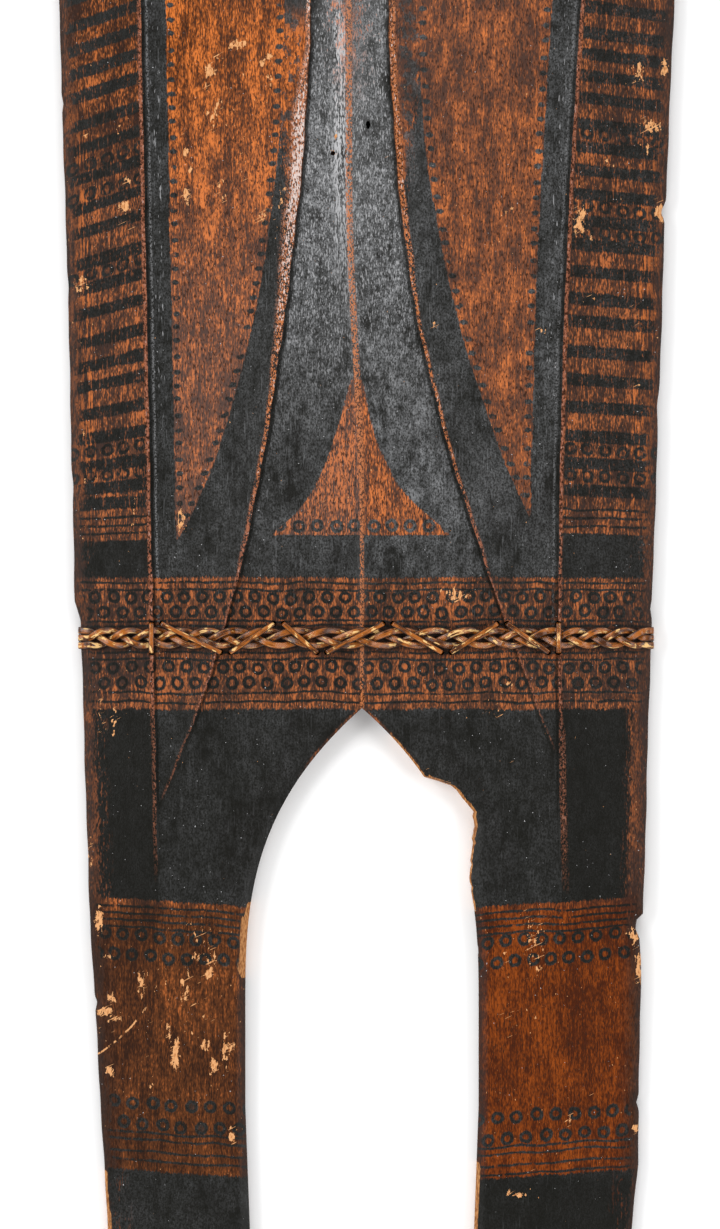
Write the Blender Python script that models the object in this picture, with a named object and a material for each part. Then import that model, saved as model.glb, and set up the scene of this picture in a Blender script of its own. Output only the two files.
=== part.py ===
"""A Kalinga shield: one carved plank with three prongs above and two legs below, bound with cane.

The shield lies on its back. Its front looks up (+Z), the three prongs point to +Y, the two legs to
-Y, and the origin is under the middle of its outline, on the surface that it lies on. All sizes are
in metres.
"""

import math

import bmesh
import bpy
from mathutils import Vector
from mathutils.bvhtree import BVHTree

# Driving sizes of the plank
LENGTH = 1.245
BOSS_Y = 0.0825
LEG_REACH = 0.384
PRONG_REACH = 0.300
TOP_Y = LENGTH / 2

# Half widths along the plank, as (y, half width): the left edge and the right edge
LEFT_EDGE = (
    (-TOP_Y, 0.1285),
    (-0.5620, 0.1302),
    (-0.4500, 0.1365),
    (-0.3980, 0.1394),
    (-0.2750, 0.1432),
    (-0.2580, 0.1436),
    (-0.2480, 0.1466),
    (-0.0965, 0.1500),
    (BOSS_Y, 0.1555),
    (0.2400, 0.1525),
    (TOP_Y, 0.1540),
)
RIGHT_EDGE = (
    (-TOP_Y, 0.1295),
    (-0.5620, 0.1330),
    (-0.5300, 0.1360),
    (-0.4275, 0.1375),
    (-0.4170, 0.1367),
    (-0.4120, 0.1346),
    (-0.4075, 0.1354),
    (-0.4045, 0.1386),
    (-0.3000, 0.1415),
    (-0.2200, 0.1440),
    (-0.0500, 0.1498),
    (BOSS_Y, 0.1555),
    (0.2400, 0.1525),
    (TOP_Y, 0.1540),
)

# The arch between the legs and the gaps between the prongs share one pointed shape
ARCH_HALF = 0.0585
ARCH_RISE = 0.150
ARCH_POWER = 2.9
LEG_CLOSING = 0.037
LEG_PLAIN_RUN = 0.200
GAP_HALF = 0.021
GAP_RISE = 0.090
GAP_SHARE = 0.45
TIP_RUN = 0.045
TIP_DROP = 0.016
TIP_FLAT = 0.3

# The right side of the arch has split away, as (y, x) of what is left of its edge
BROKEN_EDGE = (
    (-0.4260, 0.0560),
    (-0.3965, 0.0528),
    (-0.3870, 0.0514),
    (-0.3610, 0.0535),
    (-0.3535, 0.0533),
    (-0.3470, 0.0480),
    (-0.3445, 0.0465),
    (-0.3403, 0.0419),
    (-0.3380, 0.0355),
    (-0.3360, 0.0290),
)

# Lines of the carving across the plank, and where along it they wander, as shares of the reach
LEFT_GROOVE = -0.1138
LEFT_GROOVE_LEAN = 0.0075
RIGHT_GROOVE = 0.0958
RIGHT_GROOVE_BOW = 0.0115
BOW_MIDDLE = 0.911
BOW_REACH = 0.833
CREST_MIDDLE = -0.0087
CREST_SHIFT = 0.0095
CREST_SHIFT_FROM = 0.39
CREST_SHIFT_RUN = 0.65
CREST_NECK = 0.0193
CREST_FLARE = 0.0657
CREST_POWER = 2.17
RIDGE_MIDDLE = -0.0090
RIDGE_SHIFT = 0.0065
RIDGE_SHIFT_FROM = 0.31
RIDGE_SHIFT_RUN = 0.445
CARVING_END = 1.05
CARVING_FADE = 0.2

# Heights and steps of the carving
PLANK = 0.0135
TIP_THINNING = 0.004
TIP_THINNING_RUN = 0.65
LEG_START_RISE = 0.012
LEG_START_RUN = 0.020
EDGE_FALL = 0.0045
LEG_EDGE_FALL = 0.0020
EDGE_ROUND = 0.0015
STRIP_RISE = 0.0030
GROOVE_DEPTH = 0.0016
GROOVE_RUN = 0.0012
CREST_RISE = 0.0040
CREST_BOSS_RISE = 0.0240
CREST_STEP = 0.0020
CREST_RUN = 0.0015
CREST_ROOM = 0.0300
LEAST_ROOM = 0.0010
RIDGE_HALF = 0.0023
RIDGE_LIFT = 0.0012
FIELD_RISE = 0.0030
FIELD_BOSS_RISE = 0.0040
FIELD_LEVELS = 0.85
FIELD_LEVEL_RUN = 0.35
ARCH_BEVEL = 0.0045
ARCH_BEVEL_DROP = 0.0020
BOSS_LENGTH = 0.115
BOSS_POWER = 1.7

# The hand grip behind the boss
HOLLOW_HALF = (0.048, 0.062, 0.038)
GRIP_WIDTH = 0.024
GRIP_THICK = 0.018
GRIP_RECESS = 0.001
GRIP_SPAN = 0.132
GRIP_ROUND = 0.005

# Two small old holes in the plank, as (x, y, half width, half length, depth)
OLD_HOLES = (
    (0.0005, -0.0110, 0.0011, 0.0021, 0.012),
    (-0.0170, -0.0250, 0.0014, 0.0012, 0.004),
)

# Cane lashings: where each lies, how often its plait turns, and where its sewing cane turns back
CLEAR = 0.0003
LASHINGS = {
    "lower": {
        "y": -0.2665,
        "half_turns": 13,
        "stitches": (-0.1025, -0.0707, -0.0442, -0.0225, 0.0105, 0.0397, 0.0675, 0.0905),
    },
    "upper": {
        "y": 0.3550,
        "half_turns": 9,
        "stitches": (-0.1040, -0.0520, 0.0, 0.0520, 0.1040),
    },
}
STRAND_WIDTH = 0.0034
STRAND_THICK = 0.0011
STRAND_SWING = 0.0038
STRAND_LIFT = 0.0018
STEPS_PER_HALF_TURN = 5
TIGHTER_ENDS = 0.20
PLAIT_END = 0.0045
TOP_BEND = 0.0022
BACK_BEND = 0.0012
BEND_SHARE = 0.3
STRAND_LANE = 0.0037
BACK_END = 0.0040
SEWING_WIDTH = 0.0026
SEWING_THICK = 0.0010
SEWING_BEND = 0.0008
SEWING_ROOM = 0.0009
STITCH_OFFSET = 0.0071
STITCH_GAP = 0.0052
TIE_STEP = 0.0052
TAIL = 0.0010
BED_X = 0.0030
BED_Y = 0.0056
CHANNEL_DEPTH = 0.0037
CHANNEL_HALF = 0.0089
STITCH_HOLE = 0.0033
PAST_SIDES = 0.2
PAST_FACES = 0.03

# Columns of a cross-section: each whole number is a rail, and 3.5 lies half way from rail 3 to 4
EDGE_SIDE, EDGE_TOP, STRIP, GROOVE, CREST, FOOT, GAP_OUT, GAP_IN, RIDGE, CENTRE = range(10)
OUTER_COLUMNS = (0, 1, 1.5, 2, 3, 3.4, 3.75, 4, 5, 6)
INNER_COLUMNS = (7, 7.6, 8, 9)
BOW = {EDGE_TOP: 0.8, GROOVE: 1.7, FOOT: 1.3, GAP_IN: 1.2}
ROW_STEP = 0.0210
CLOSEST_ROWS = 0.0022
LEFT, RIGHT = -1, 1
UP, DOWN = Vector((0, 0, 1)), Vector((0, 0, -1))
WELD = 1e-6


def ease(t):
    """0 below 0, 1 above 1, and smooth between."""
    t = min(max(t, 0.0), 1.0)
    return t * t * (3 - 2 * t)


def along(knots, y):
    """The value at y on the line through the knots (y, value)."""
    if y <= knots[0][0]:
        return knots[0][1]
    for (y0, v0), (y1, v1) in zip(knots, knots[1:]):
        if y <= y1:
            return v0 + (v1 - v0) * (y - y0) / (y1 - y0)
    return knots[-1][1]


def reach_at(y):
    """The distance from the boss, as a share of that to the legs' or prongs' roots."""
    away = y - BOSS_Y
    return away / PRONG_REACH if away > 0 else -away / LEG_REACH


def boss_at(y):
    """1 across the boss, falling to 0 along the plank."""
    return math.exp(-((abs(y - BOSS_Y) / BOSS_LENGTH) ** BOSS_POWER))


def edge_x(side, y):
    return side * along(LEFT_EDGE if side == LEFT else RIGHT_EDGE, y)


def groove_x(side, s):
    """The straight step beside each border strip; the right one bows inward."""
    if side == LEFT:
        return LEFT_GROOVE + LEFT_GROOVE_LEAN * s
    return RIGHT_GROOVE + RIGHT_GROOVE_BOW * ((s - BOW_MIDDLE) / BOW_REACH) ** 2


def crest_x(side, s):
    """The curved crests, close together beside the boss and spreading to the grooves."""
    middle = CREST_MIDDLE + CREST_SHIFT * ease((s - CREST_SHIFT_FROM) / CREST_SHIFT_RUN)
    return middle + side * (CREST_NECK + CREST_FLARE * s**CREST_POWER)


def ridge_x(s):
    """The centre ridge, which wanders to the left near the boss."""
    return RIDGE_MIDDLE + RIDGE_SHIFT * ease((s - RIDGE_SHIFT_FROM) / RIDGE_SHIFT_RUN)


def pointed(depth, half, rise):
    """Half the width of a pointed arch, at a depth below its apex."""
    if depth <= 0:
        return 0.0
    return half * (1 - max(0.0, 1 - depth / rise) ** ARCH_POWER)


def centre_x(side, y):
    """The inner edge of a half: the centre ridge, and the side of the arch below it."""
    depth = BOSS_Y - LEG_REACH - y
    half = pointed(depth, ARCH_HALF, ARCH_RISE)
    half -= LEG_CLOSING * max(0.0, depth - LEG_PLAIN_RUN)
    x = ridge_x(reach_at(y)) + side * half
    if side == RIGHT and BROKEN_EDGE[0][0] < y < BROKEN_EDGE[-1][0]:
        x = max(x, along(BROKEN_EDGE, y))
    return x


def rails(side, y):
    """The points (x, z) where a half cross-section bends, from its outer edge to its inner one."""
    s = reach_at(y)
    boss = boss_at(y)
    carved = 1 - ease((s - CARVING_END) / CARVING_FADE)
    plank = PLANK - TIP_THINNING * ease((s - 1) / TIP_THINNING_RUN)
    legs = ease((BOSS_Y - LEG_REACH + LEG_START_RISE - y) / LEG_START_RUN)

    edge = edge_x(side, y)
    edge_z = plank - LEG_EDGE_FALL - (EDGE_FALL - LEG_EDGE_FALL) * carved
    groove = groove_x(side, s)
    strip_z = plank + STRIP_RISE * boss
    groove_z = strip_z - GROOVE_DEPTH * carved
    inner_groove = groove - side * GROOVE_RUN

    room = max(side * (inner_groove - crest_x(side, s)), LEAST_ROOM)
    crest = inner_groove - side * room
    raised = ease((room - LEAST_ROOM) / CREST_ROOM)
    crest_z = groove_z + raised * (CREST_RISE + CREST_BOSS_RISE * boss)
    foot = crest - side * CREST_RUN
    foot_z = crest_z - raised * CREST_STEP

    centre = centre_x(side, y)
    ridge = centre + side * (RIDGE_HALF + (ARCH_BEVEL - RIDGE_HALF) * legs)
    risen = CREST_RISE - CREST_STEP + FIELD_RISE + (CREST_BOSS_RISE + FIELD_BOSS_RISE) * boss
    ridge_z = groove_z + risen * (1 - ease((s - FIELD_LEVELS) / FIELD_LEVEL_RUN))
    centre_z = ridge_z + RIDGE_LIFT * (1 - legs) * carved - ARCH_BEVEL_DROP * legs

    gap = foot + (ridge - foot) * GAP_SHARE
    gap_z = foot_z + (ridge_z - foot_z) * GAP_SHARE ** BOW[FOOT]
    gap_half = pointed(y - BOSS_Y - PRONG_REACH, GAP_HALF, GAP_RISE)
    return (
        (edge, edge_z - EDGE_ROUND),
        (edge - side * EDGE_ROUND, edge_z),
        (groove, strip_z),
        (inner_groove, groove_z),
        (crest, crest_z),
        (foot, foot_z),
        (gap + side * gap_half, gap_z),
        (gap - side * gap_half, gap_z),
        (ridge, ridge_z),
        (centre, centre_z),
    )


def limb_span(section, mirrored, column, y):
    """The two sides of the leg or prong that a column belongs to."""
    if y < 0:
        return section[EDGE_SIDE][0], section[CENTRE][0]
    if column <= GAP_OUT:
        return section[EDGE_SIDE][0], section[GAP_OUT][0]
    return section[GAP_IN][0], mirrored[GAP_IN][0]


def front_point(side, column, y):
    """A point of the carved front."""
    section = rails(side, y)
    rail = min(int(column), CENTRE - 1)
    t = column - rail
    (x0, z0), (x1, z1) = section[rail], section[rail + 1]
    x = x0 + (x1 - x0) * t
    z = z0 + (z1 - z0) * t ** BOW.get(rail, 1.0)
    start, end = limb_span(section, rails(-side, y), column, y)
    off_middle = abs(2 * x - start - end) / abs(end - start)
    rounding = max(0.0, off_middle - TIP_FLAT) / (1 - TIP_FLAT)
    drop = TIP_DROP * rounding**2 * ease((abs(y) - TOP_Y + TIP_RUN) / TIP_RUN)
    return Vector((x, y - math.copysign(drop, y), z))


def row_stations():
    """Where the cross-sections are taken: evenly, and at each corner of the outline."""
    count = round(LENGTH / ROW_STEP)
    corners = [y for y, _ in LEFT_EDGE + RIGHT_EDGE + BROKEN_EDGE]
    corners += [BOSS_Y - LEG_REACH, BOSS_Y + PRONG_REACH]
    rows = sorted(set(corners))
    for i in range(count + 1):
        y = LENGTH * i / count - TOP_Y
        if min(abs(y - other) for other in rows) > ROW_STEP / 3:
            rows.append(y)
    rows.sort()
    kept = [rows[0]]
    for y in rows[1:]:
        if y - kept[-1] > CLOSEST_ROWS:
            kept.append(y)
    return kept


def place_grid(bm, columns, rows, place):
    """A grid of len(columns) by len(rows) points, each moved to place(column, row)."""
    across, up = len(columns) - 1, len(rows) - 1
    grid = bmesh.ops.create_grid(bm, x_segments=across, y_segments=up, size=1.0)
    for vert in grid["verts"]:
        i = round((vert.co.x + 1) / 2 * across)
        j = round((vert.co.y + 1) / 2 * up)
        vert.co = place(columns[i], rows[j])


def material(name, colour, roughness):
    made = bpy.data.materials.new(name)
    made.use_nodes = True
    shader = made.node_tree.nodes["Principled BSDF"]
    shader.inputs["Base Color"].default_value = (*colour, 1.0)
    shader.inputs["Roughness"].default_value = roughness
    shader.inputs["Metallic"].default_value = 0.0
    return made


def add_object(name, bm, finish):
    mesh = bpy.data.meshes.new(name)
    bm.to_mesh(mesh)
    mesh.materials.append(finish)
    made = bpy.data.objects.new(name, mesh)
    bpy.context.scene.collection.objects.link(made)
    return made


def add_cutter(name, bm, target, operation="DIFFERENCE"):
    """A hidden helper that is cut from the target, or joined to it."""
    bmesh.ops.recalc_face_normals(bm, faces=bm.faces[:])
    mesh = bpy.data.meshes.new(name)
    bm.to_mesh(mesh)
    bm.free()
    helper = bpy.data.objects.new(name, mesh)
    bpy.context.scene.collection.objects.link(helper)
    helper.hide_render = True
    helper.display_type = "WIRE"
    cut = target.modifiers.new(name, "BOOLEAN")
    cut.operation = operation
    cut.solver = "EXACT"
    cut.object = helper


def add_box(bm, low, high):
    made = bmesh.ops.create_cube(bm, size=1.0)
    for vert in made["verts"]:
        vert.co = Vector(high[i] if vert.co[i] > 0 else low[i] for i in range(3))


def plank_mesh():
    """The plank with its carved front and flat back, before its holes and its grip."""
    bm = bmesh.new()
    rows = row_stations()
    for side in (LEFT, RIGHT):
        for columns in (OUTER_COLUMNS, INNER_COLUMNS):
            place_grid(bm, columns, rows, lambda column, y: front_point(side, column, y))
    bmesh.ops.remove_doubles(bm, verts=bm.verts[:], dist=WELD)
    lowered = bmesh.ops.extrude_face_region(bm, geom=bm.faces[:])
    for item in lowered["geom"]:
        if isinstance(item, bmesh.types.BMVert):
            item.co.z = 0.0
    back = [face for face in lowered["geom"] if isinstance(face, bmesh.types.BMFace)]
    bmesh.ops.dissolve_faces(bm, faces=back)
    bmesh.ops.recalc_face_normals(bm, faces=bm.faces[:])
    return bm


def grip_helpers(plank):
    """The oval hollow behind the boss, and the upright bar left standing in it."""
    hollow = bmesh.new()
    bmesh.ops.create_uvsphere(hollow, u_segments=20, v_segments=11, radius=1.0)
    bmesh.ops.scale(hollow, vec=HOLLOW_HALF, verts=hollow.verts[:])
    middle = Vector((ridge_x(0.0), BOSS_Y, 0.0))
    bmesh.ops.translate(hollow, vec=middle, verts=hollow.verts[:])
    add_cutter("hollow", hollow, plank)

    bar = bmesh.new()
    half = Vector((GRIP_WIDTH, GRIP_SPAN, 0)) / 2
    add_box(bar, (-half.x, -half.y, GRIP_RECESS), (half.x, half.y, GRIP_THICK))
    long_edges = [e for e in bar.edges if abs(e.verts[0].co.y - e.verts[1].co.y) > GRIP_WIDTH]
    bmesh.ops.bevel(
        bar,
        geom=long_edges,
        offset=GRIP_ROUND,
        segments=2,
        profile=0.5,
        affect="EDGES",
        material=-1,
    )
    bmesh.ops.translate(bar, vec=middle, verts=bar.verts[:])
    add_cutter("grip_bar", bar, plank, "UNION")


def stitch_places(lashing):
    """The turns of the sewing cane, from left to right, as (x, offset from the lashing's middle)."""
    return [(x, STITCH_OFFSET * (-1) ** i) for i, x in enumerate(lashing["stitches"])]


def stitch_holes(lashing):
    """Where the sewing cane goes through the plank, in the order it does."""
    turns = stitch_places(lashing)
    first, last = turns[0], turns[-1]
    holes = [(first[0] - TIE_STEP, STITCH_OFFSET), (first[0] - TIE_STEP, -STITCH_OFFSET), first]
    for x, offset in turns[1:-1]:
        holes.append((x - STITCH_GAP / 2, offset))
        holes.append((x + STITCH_GAP / 2, offset))
    holes.append(last)
    holes.append((last[0] + TIE_STEP, -last[1]))
    holes.append((last[0] + TIE_STEP, last[1]))
    return holes


def lashing_helpers(plank):
    """The channels across the back that the lashings lie in, and the stitches' holes."""
    channels = bmesh.new()
    holes = bmesh.new()
    for lashing in LASHINGS.values():
        y = lashing["y"]
        low = (-PAST_SIDES, y - CHANNEL_HALF, -PAST_FACES)
        add_box(channels, low, (PAST_SIDES, y + CHANNEL_HALF, CHANNEL_DEPTH))
        for x, offset in stitch_holes(lashing):
            middle = Vector((x, y + offset, PLANK))
            half = Vector((STITCH_HOLE / 2, STITCH_HOLE / 2, PAST_FACES))
            add_box(holes, middle - half, middle + half)
    add_cutter("back_channels", channels, plank)
    add_cutter("stitch_holes", holes, plank)


def old_hole_helpers(plank, bvh):
    holes = bmesh.new()
    for x, y, half_width, half_length, depth in OLD_HOLES:
        top = surface_z(bvh, x, y)
        ring = bmesh.ops.create_cone(
            holes, cap_ends=True, segments=8, radius1=1.0, radius2=1.0, depth=2.0
        )
        bmesh.ops.scale(holes, vec=(half_width, half_length, depth), verts=ring["verts"])
        bmesh.ops.translate(holes, vec=(x, y, top), verts=ring["verts"])
    add_cutter("old_holes", holes, plank)


def surface_z(bvh, x, y):
    """The height of the front at a place."""
    hit = bvh.ray_cast(Vector((x, y, 1.0)), DOWN)[0]
    return hit.z if hit else 0.0


def cane_bed(bvh, x, y):
    """The height that a cane rests on here, which bridges the small steps of the carving."""
    return max(
        surface_z(bvh, x + dx, y + dy)
        for dx in (-BED_X, 0.0, BED_X)
        for dy in (-BED_Y, 0.0, BED_Y)
    )


def sweep_cane(name, path, width, thick, finish):
    """A flat cane along a path of (point, outward direction), squared off at its ends."""
    frames = []
    for i, (point, outward) in enumerate(path):
        before = path[max(i - 1, 0)][0]
        after = path[min(i + 1, len(path) - 1)][0]
        forward = (after - before).normalized()
        across = outward.cross(forward).normalized()
        if frames and across.dot(frames[-1][1]) < 0:
            across = -across
        lift = forward.cross(across).normalized()
        frames.append((point, across * width / 2, lift * thick / 2))

    def place(corner, row):
        point, across, lift = frames[row]
        x_sign = 1 if corner % 4 in (1, 2) else -1
        z_sign = 1 if corner % 4 in (2, 3) else -1
        return point + across * x_sign + lift * z_sign

    bm = bmesh.new()
    place_grid(bm, range(5), range(len(path)), place)
    bmesh.ops.remove_doubles(bm, verts=bm.verts[:], dist=WELD)
    bmesh.ops.holes_fill(bm, edges=[e for e in bm.edges if e.is_boundary], sides=4)
    bmesh.ops.recalc_face_normals(bm, faces=bm.faces[:])
    made = add_object(name, bm, finish)
    bm.free()
    return made


def plait_front(bvh, lashing, phase):
    """A strand's way across the front: it swings from side to side, over one strand and under the next."""
    y0 = lashing["y"]
    steps = lashing["half_turns"] * STEPS_PER_HALF_TURN
    start, end = edge_x(LEFT, y0) + PLAIT_END, edge_x(RIGHT, y0) - PLAIT_END
    path = []
    for i in range(steps + 1):
        share = i / steps
        tightened = share + TIGHTER_ENDS * math.sin(2 * math.pi * share) / (2 * math.pi)
        turn = math.pi * lashing["half_turns"] * tightened + phase
        x = start + (end - start) * share
        lift = STRAND_LIFT * (1 + math.sin(2 * turn))
        z = cane_bed(bvh, x, y0) + CLEAR + STRAND_THICK / 2 + lift
        path.append((Vector((x, y0 + STRAND_SWING * math.sin(turn), z)), UP))
    return path


def round_corner(corner, first, second, bend):
    """Three points that round a corner: the cane faces the first direction before it, then the second."""
    return [
        (corner - second * bend, first),
        (corner - (first + second) * bend * BEND_SHARE, (first + second).normalized()),
        (corner - first * bend, second),
    ]


def plait_end(bvh, lashing, side, front_end):
    """A strand's way from the end of its front round the plank's edge, and behind to the middle."""
    y0 = lashing["y"]
    order = round((front_end.y - y0) / STRAND_SWING / math.sin(math.pi / 3))
    lane = y0 + STRAND_LANE * order
    edge = edge_x(side, y0)
    bed = CLEAR + STRAND_THICK / 2
    top_z = surface_z(bvh, edge - side * EDGE_ROUND, y0) + bed
    back_z = CHANNEL_DEPTH - bed
    outer = edge + side * bed
    outward = Vector((side, 0, 0))
    path = round_corner(Vector((outer, lane, top_z)), UP, outward, TOP_BEND)
    path += round_corner(Vector((outer, lane, back_z)), outward, DOWN, BACK_BEND)
    path.append((Vector((side * BACK_END, lane, back_z)), DOWN))
    return path


def strand_path(bvh, lashing, phase):
    """One strand of a plait: over the front, round both edges, and side by side behind."""
    front = plait_front(bvh, lashing, phase)
    before = plait_end(bvh, lashing, LEFT, front[0][0])
    return before[::-1] + front + plait_end(bvh, lashing, RIGHT, front[-1][0])


def crossing(a, b, height, outward, samples):
    """The sewing cane from hole a to hole b on one side of the plank, with softened corners."""
    run = (b - a).normalized()
    sunk = -outward.z * 2 * SEWING_BEND
    path = [(a + Vector((0, 0, height(a) + sunk)), -run)]
    for i in range(samples + 1):
        starts, ends = i == 0, i == samples
        at = a.lerp(b, i / samples) + run * SEWING_BEND * (starts - ends)
        path.append((at + Vector((0, 0, height(at))), (outward + run * (ends - starts)).normalized()))
    path.append((b + Vector((0, 0, height(b) + sunk)), run))
    return path


def sewing_path(bvh, lashing):
    """The cane that holds a plait down: a tie, a zigzag of stitches and a tie."""
    y0 = lashing["y"]
    over = 2 * STRAND_LIFT + STRAND_THICK + SEWING_THICK / 2 + SEWING_ROOM
    under = CHANNEL_DEPTH - CLEAR - SEWING_THICK / 2
    under_strands = under - STRAND_THICK - CLEAR
    holes = [Vector((x, y0 + offset, 0)) for x, offset in stitch_holes(lashing)]
    tail = Vector((0, 0, CHANNEL_DEPTH + TAIL))

    path = []
    for i, (a, b) in enumerate(zip(holes, holes[1:])):
        if i % 2 == 0:
            path += crossing(a, b, lambda at: cane_bed(bvh, at.x, y0) + over, UP, 4)
        else:
            level = under_strands if abs(b.y - a.y) > STITCH_OFFSET else under
            path += crossing(a, b, lambda at: level, DOWN, 1)
    path.insert(0, (holes[0] + tail, path[0][1]))
    path.append((holes[-1] + tail, path[-1][1]))
    return path


def add_lashing(name, lashing, bvh, cane):
    for number, phase in enumerate((0.0, 2 * math.pi / 3, 4 * math.pi / 3), start=1):
        path = strand_path(bvh, lashing, phase)
        sweep_cane(f"{name}_plait_strand_{number}", path, STRAND_WIDTH, STRAND_THICK, cane)
    path = sewing_path(bvh, lashing)
    sweep_cane(f"{name}_sewing_cane", path, SEWING_WIDTH, SEWING_THICK, cane)


def main():
    for old in list(bpy.data.objects):
        bpy.data.objects.remove(old)
    wood = material("painted_wood", (0.055, 0.035, 0.026), 0.45)
    cane = material("cane", (0.36, 0.19, 0.08), 0.4)
    bm = plank_mesh()
    bvh = BVHTree.FromBMesh(bm)
    plank = add_object("plank", bm, wood)
    bm.free()
    grip_helpers(plank)
    lashing_helpers(plank)
    old_hole_helpers(plank, bvh)
    for name, lashing in LASHINGS.items():
        add_lashing(name, lashing, bvh, cane)


main()
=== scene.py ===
"""The looks of a carved and painted Kalinga shield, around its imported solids.

The shield lies on its back: its painted front looks up (+Z), its three prongs point to +Y and its two
legs to -Y. Sizes are in metres, and in millimetres where a material or an attribute works with them.
"""

import math

import bmesh
import bpy
import numpy as np
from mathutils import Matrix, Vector, kdtree, noise
from mathutils.bvhtree import BVHTree


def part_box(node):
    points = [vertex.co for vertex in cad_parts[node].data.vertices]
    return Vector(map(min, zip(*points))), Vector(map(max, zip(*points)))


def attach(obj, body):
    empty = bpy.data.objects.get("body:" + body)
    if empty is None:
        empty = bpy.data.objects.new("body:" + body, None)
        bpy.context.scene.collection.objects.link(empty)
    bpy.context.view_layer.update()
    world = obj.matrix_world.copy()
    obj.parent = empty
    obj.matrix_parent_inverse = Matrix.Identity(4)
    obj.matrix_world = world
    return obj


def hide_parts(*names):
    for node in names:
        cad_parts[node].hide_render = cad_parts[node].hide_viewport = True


bl_info = {
    "name": "Kalinga Shield",
    "version": (1, 0, 0),
    "blender": (4, 5, 0),
    "location": "3D View > Sidebar > Shield",
    "description": "Carved and painted plank with plaited cane lashings",
    "category": "Add Mesh",
}

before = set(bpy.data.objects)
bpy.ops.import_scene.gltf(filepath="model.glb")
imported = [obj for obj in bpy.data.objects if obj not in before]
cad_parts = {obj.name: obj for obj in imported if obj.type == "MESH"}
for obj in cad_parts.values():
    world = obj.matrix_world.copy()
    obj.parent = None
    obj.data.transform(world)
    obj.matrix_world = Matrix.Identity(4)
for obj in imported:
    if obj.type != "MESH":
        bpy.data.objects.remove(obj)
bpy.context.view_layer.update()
TOP_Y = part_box("plank")[1].y
MM = 0.001
LEFT, RIGHT = -1, 1
UP, DOWN = Vector((0, 0, 1)), Vector((0, 0, -1))
WELD = 1e-6

# Driving places along the plank
BOSS_Y = 0.0825
LEG_REACH = 0.384
PRONG_REACH = 0.300

# Half widths along the plank, as (y, half width)
LEFT_EDGE = (
    (-TOP_Y, 0.1285), (-0.5620, 0.1302), (-0.4500, 0.1365), (-0.3980, 0.1394),
    (-0.2750, 0.1432), (-0.2580, 0.1436), (-0.2480, 0.1466), (-0.0965, 0.1500),
    (BOSS_Y, 0.1555), (0.2400, 0.1525), (TOP_Y, 0.1540),
)
RIGHT_EDGE = (
    (-TOP_Y, 0.1295), (-0.5620, 0.1330), (-0.5300, 0.1360), (-0.4275, 0.1375),
    (-0.4170, 0.1367), (-0.4120, 0.1346), (-0.4075, 0.1354), (-0.4045, 0.1386),
    (-0.3000, 0.1415), (-0.2200, 0.1440), (-0.0500, 0.1498), (BOSS_Y, 0.1555),
    (0.2400, 0.1525), (TOP_Y, 0.1540),
)
BROKEN_EDGE = (
    (-0.4260, 0.0560), (-0.3965, 0.0528), (-0.3870, 0.0514), (-0.3610, 0.0535),
    (-0.3535, 0.0533), (-0.3470, 0.0480), (-0.3445, 0.0465), (-0.3403, 0.0419),
    (-0.3380, 0.0355), (-0.3360, 0.0290),
)

# Worn nicks in the outer edges, as (side, y, run, depth)
NICKS = (
    (LEFT, 0.0010, 0.0030, 0.0009), (LEFT, -0.0900, 0.0060, 0.0007), (LEFT, -0.4490, 0.0024, 0.0012),
    (LEFT, 0.1710, 0.0040, 0.0012), (LEFT, -0.1900, 0.0050, 0.0005), (RIGHT, -0.0530, 0.0034, 0.0022),
    (RIGHT, -0.1500, 0.0060, 0.0006), (RIGHT, -0.2520, 0.0030, 0.0008), (RIGHT, -0.4990, 0.0026, 0.0013),
    (RIGHT, 0.1300, 0.0050, 0.0012), (RIGHT, 0.4100, 0.0060, 0.0010), (LEFT, 0.3900, 0.0040, 0.0012),
)

# The pointed arch between the legs, the gaps between the prongs, and the tips
ARCH_HALF, ARCH_RISE, ARCH_POWER = 0.0585, 0.150, 2.9
LEG_CLOSING, LEG_PLAIN_RUN = 0.037, 0.200
GAP_HALF, GAP_RISE, GAP_SHARE = 0.021, 0.090, 0.45
TIP_RUN, TIP_DROP, TIP_FLAT = 0.045, 0.016, 0.3

# Lines of the carving across the plank, and where along it they wander, as shares of the reach
LEFT_GROOVE, LEFT_GROOVE_LEAN = -0.1138, 0.0075
RIGHT_GROOVE, RIGHT_GROOVE_BOW, BOW_MIDDLE, BOW_REACH = 0.0958, 0.0115, 0.911, 0.833
CREST_MIDDLE, CREST_SHIFT, CREST_SHIFT_FROM, CREST_SHIFT_RUN = -0.0087, 0.0095, 0.39, 0.65
CREST_NECK, CREST_FLARE, CREST_POWER = 0.0193, 0.0657, 2.17
RIDGE_MIDDLE, RIDGE_SHIFT, RIDGE_SHIFT_FROM, RIDGE_SHIFT_RUN = -0.0090, 0.0065, 0.31, 0.445
CARVING_END, CARVING_FADE = 1.05, 0.2

# Heights and steps of the carving
PLANK, TIP_THINNING, TIP_THINNING_RUN = 0.0135, 0.004, 0.65
LEG_START_RISE, LEG_START_RUN = 0.012, 0.020
EDGE_FALL, LEG_EDGE_FALL, EDGE_ROUND = 0.0045, 0.0020, 0.0015
STRIP_RISE, GROOVE_DEPTH, GROOVE_RUN = 0.0030, 0.0016, 0.0012
CREST_RISE, CREST_BOSS_RISE = 0.0040, 0.0240
CREST_STEP, CREST_RUN, CREST_ROOM, LEAST_ROOM = 0.0020, 0.0015, 0.0300, 0.0010
RIDGE_HALF, RIDGE_LIFT = 0.0023, 0.0012
FIELD_RISE, FIELD_BOSS_RISE = 0.0030, 0.0040
FIELD_LEVELS, FIELD_LEVEL_RUN = 0.85, 0.35
ARCH_BEVEL, ARCH_BEVEL_DROP = 0.0045, 0.0020
BOSS_LENGTH, BOSS_POWER = 0.115, 1.7

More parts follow.
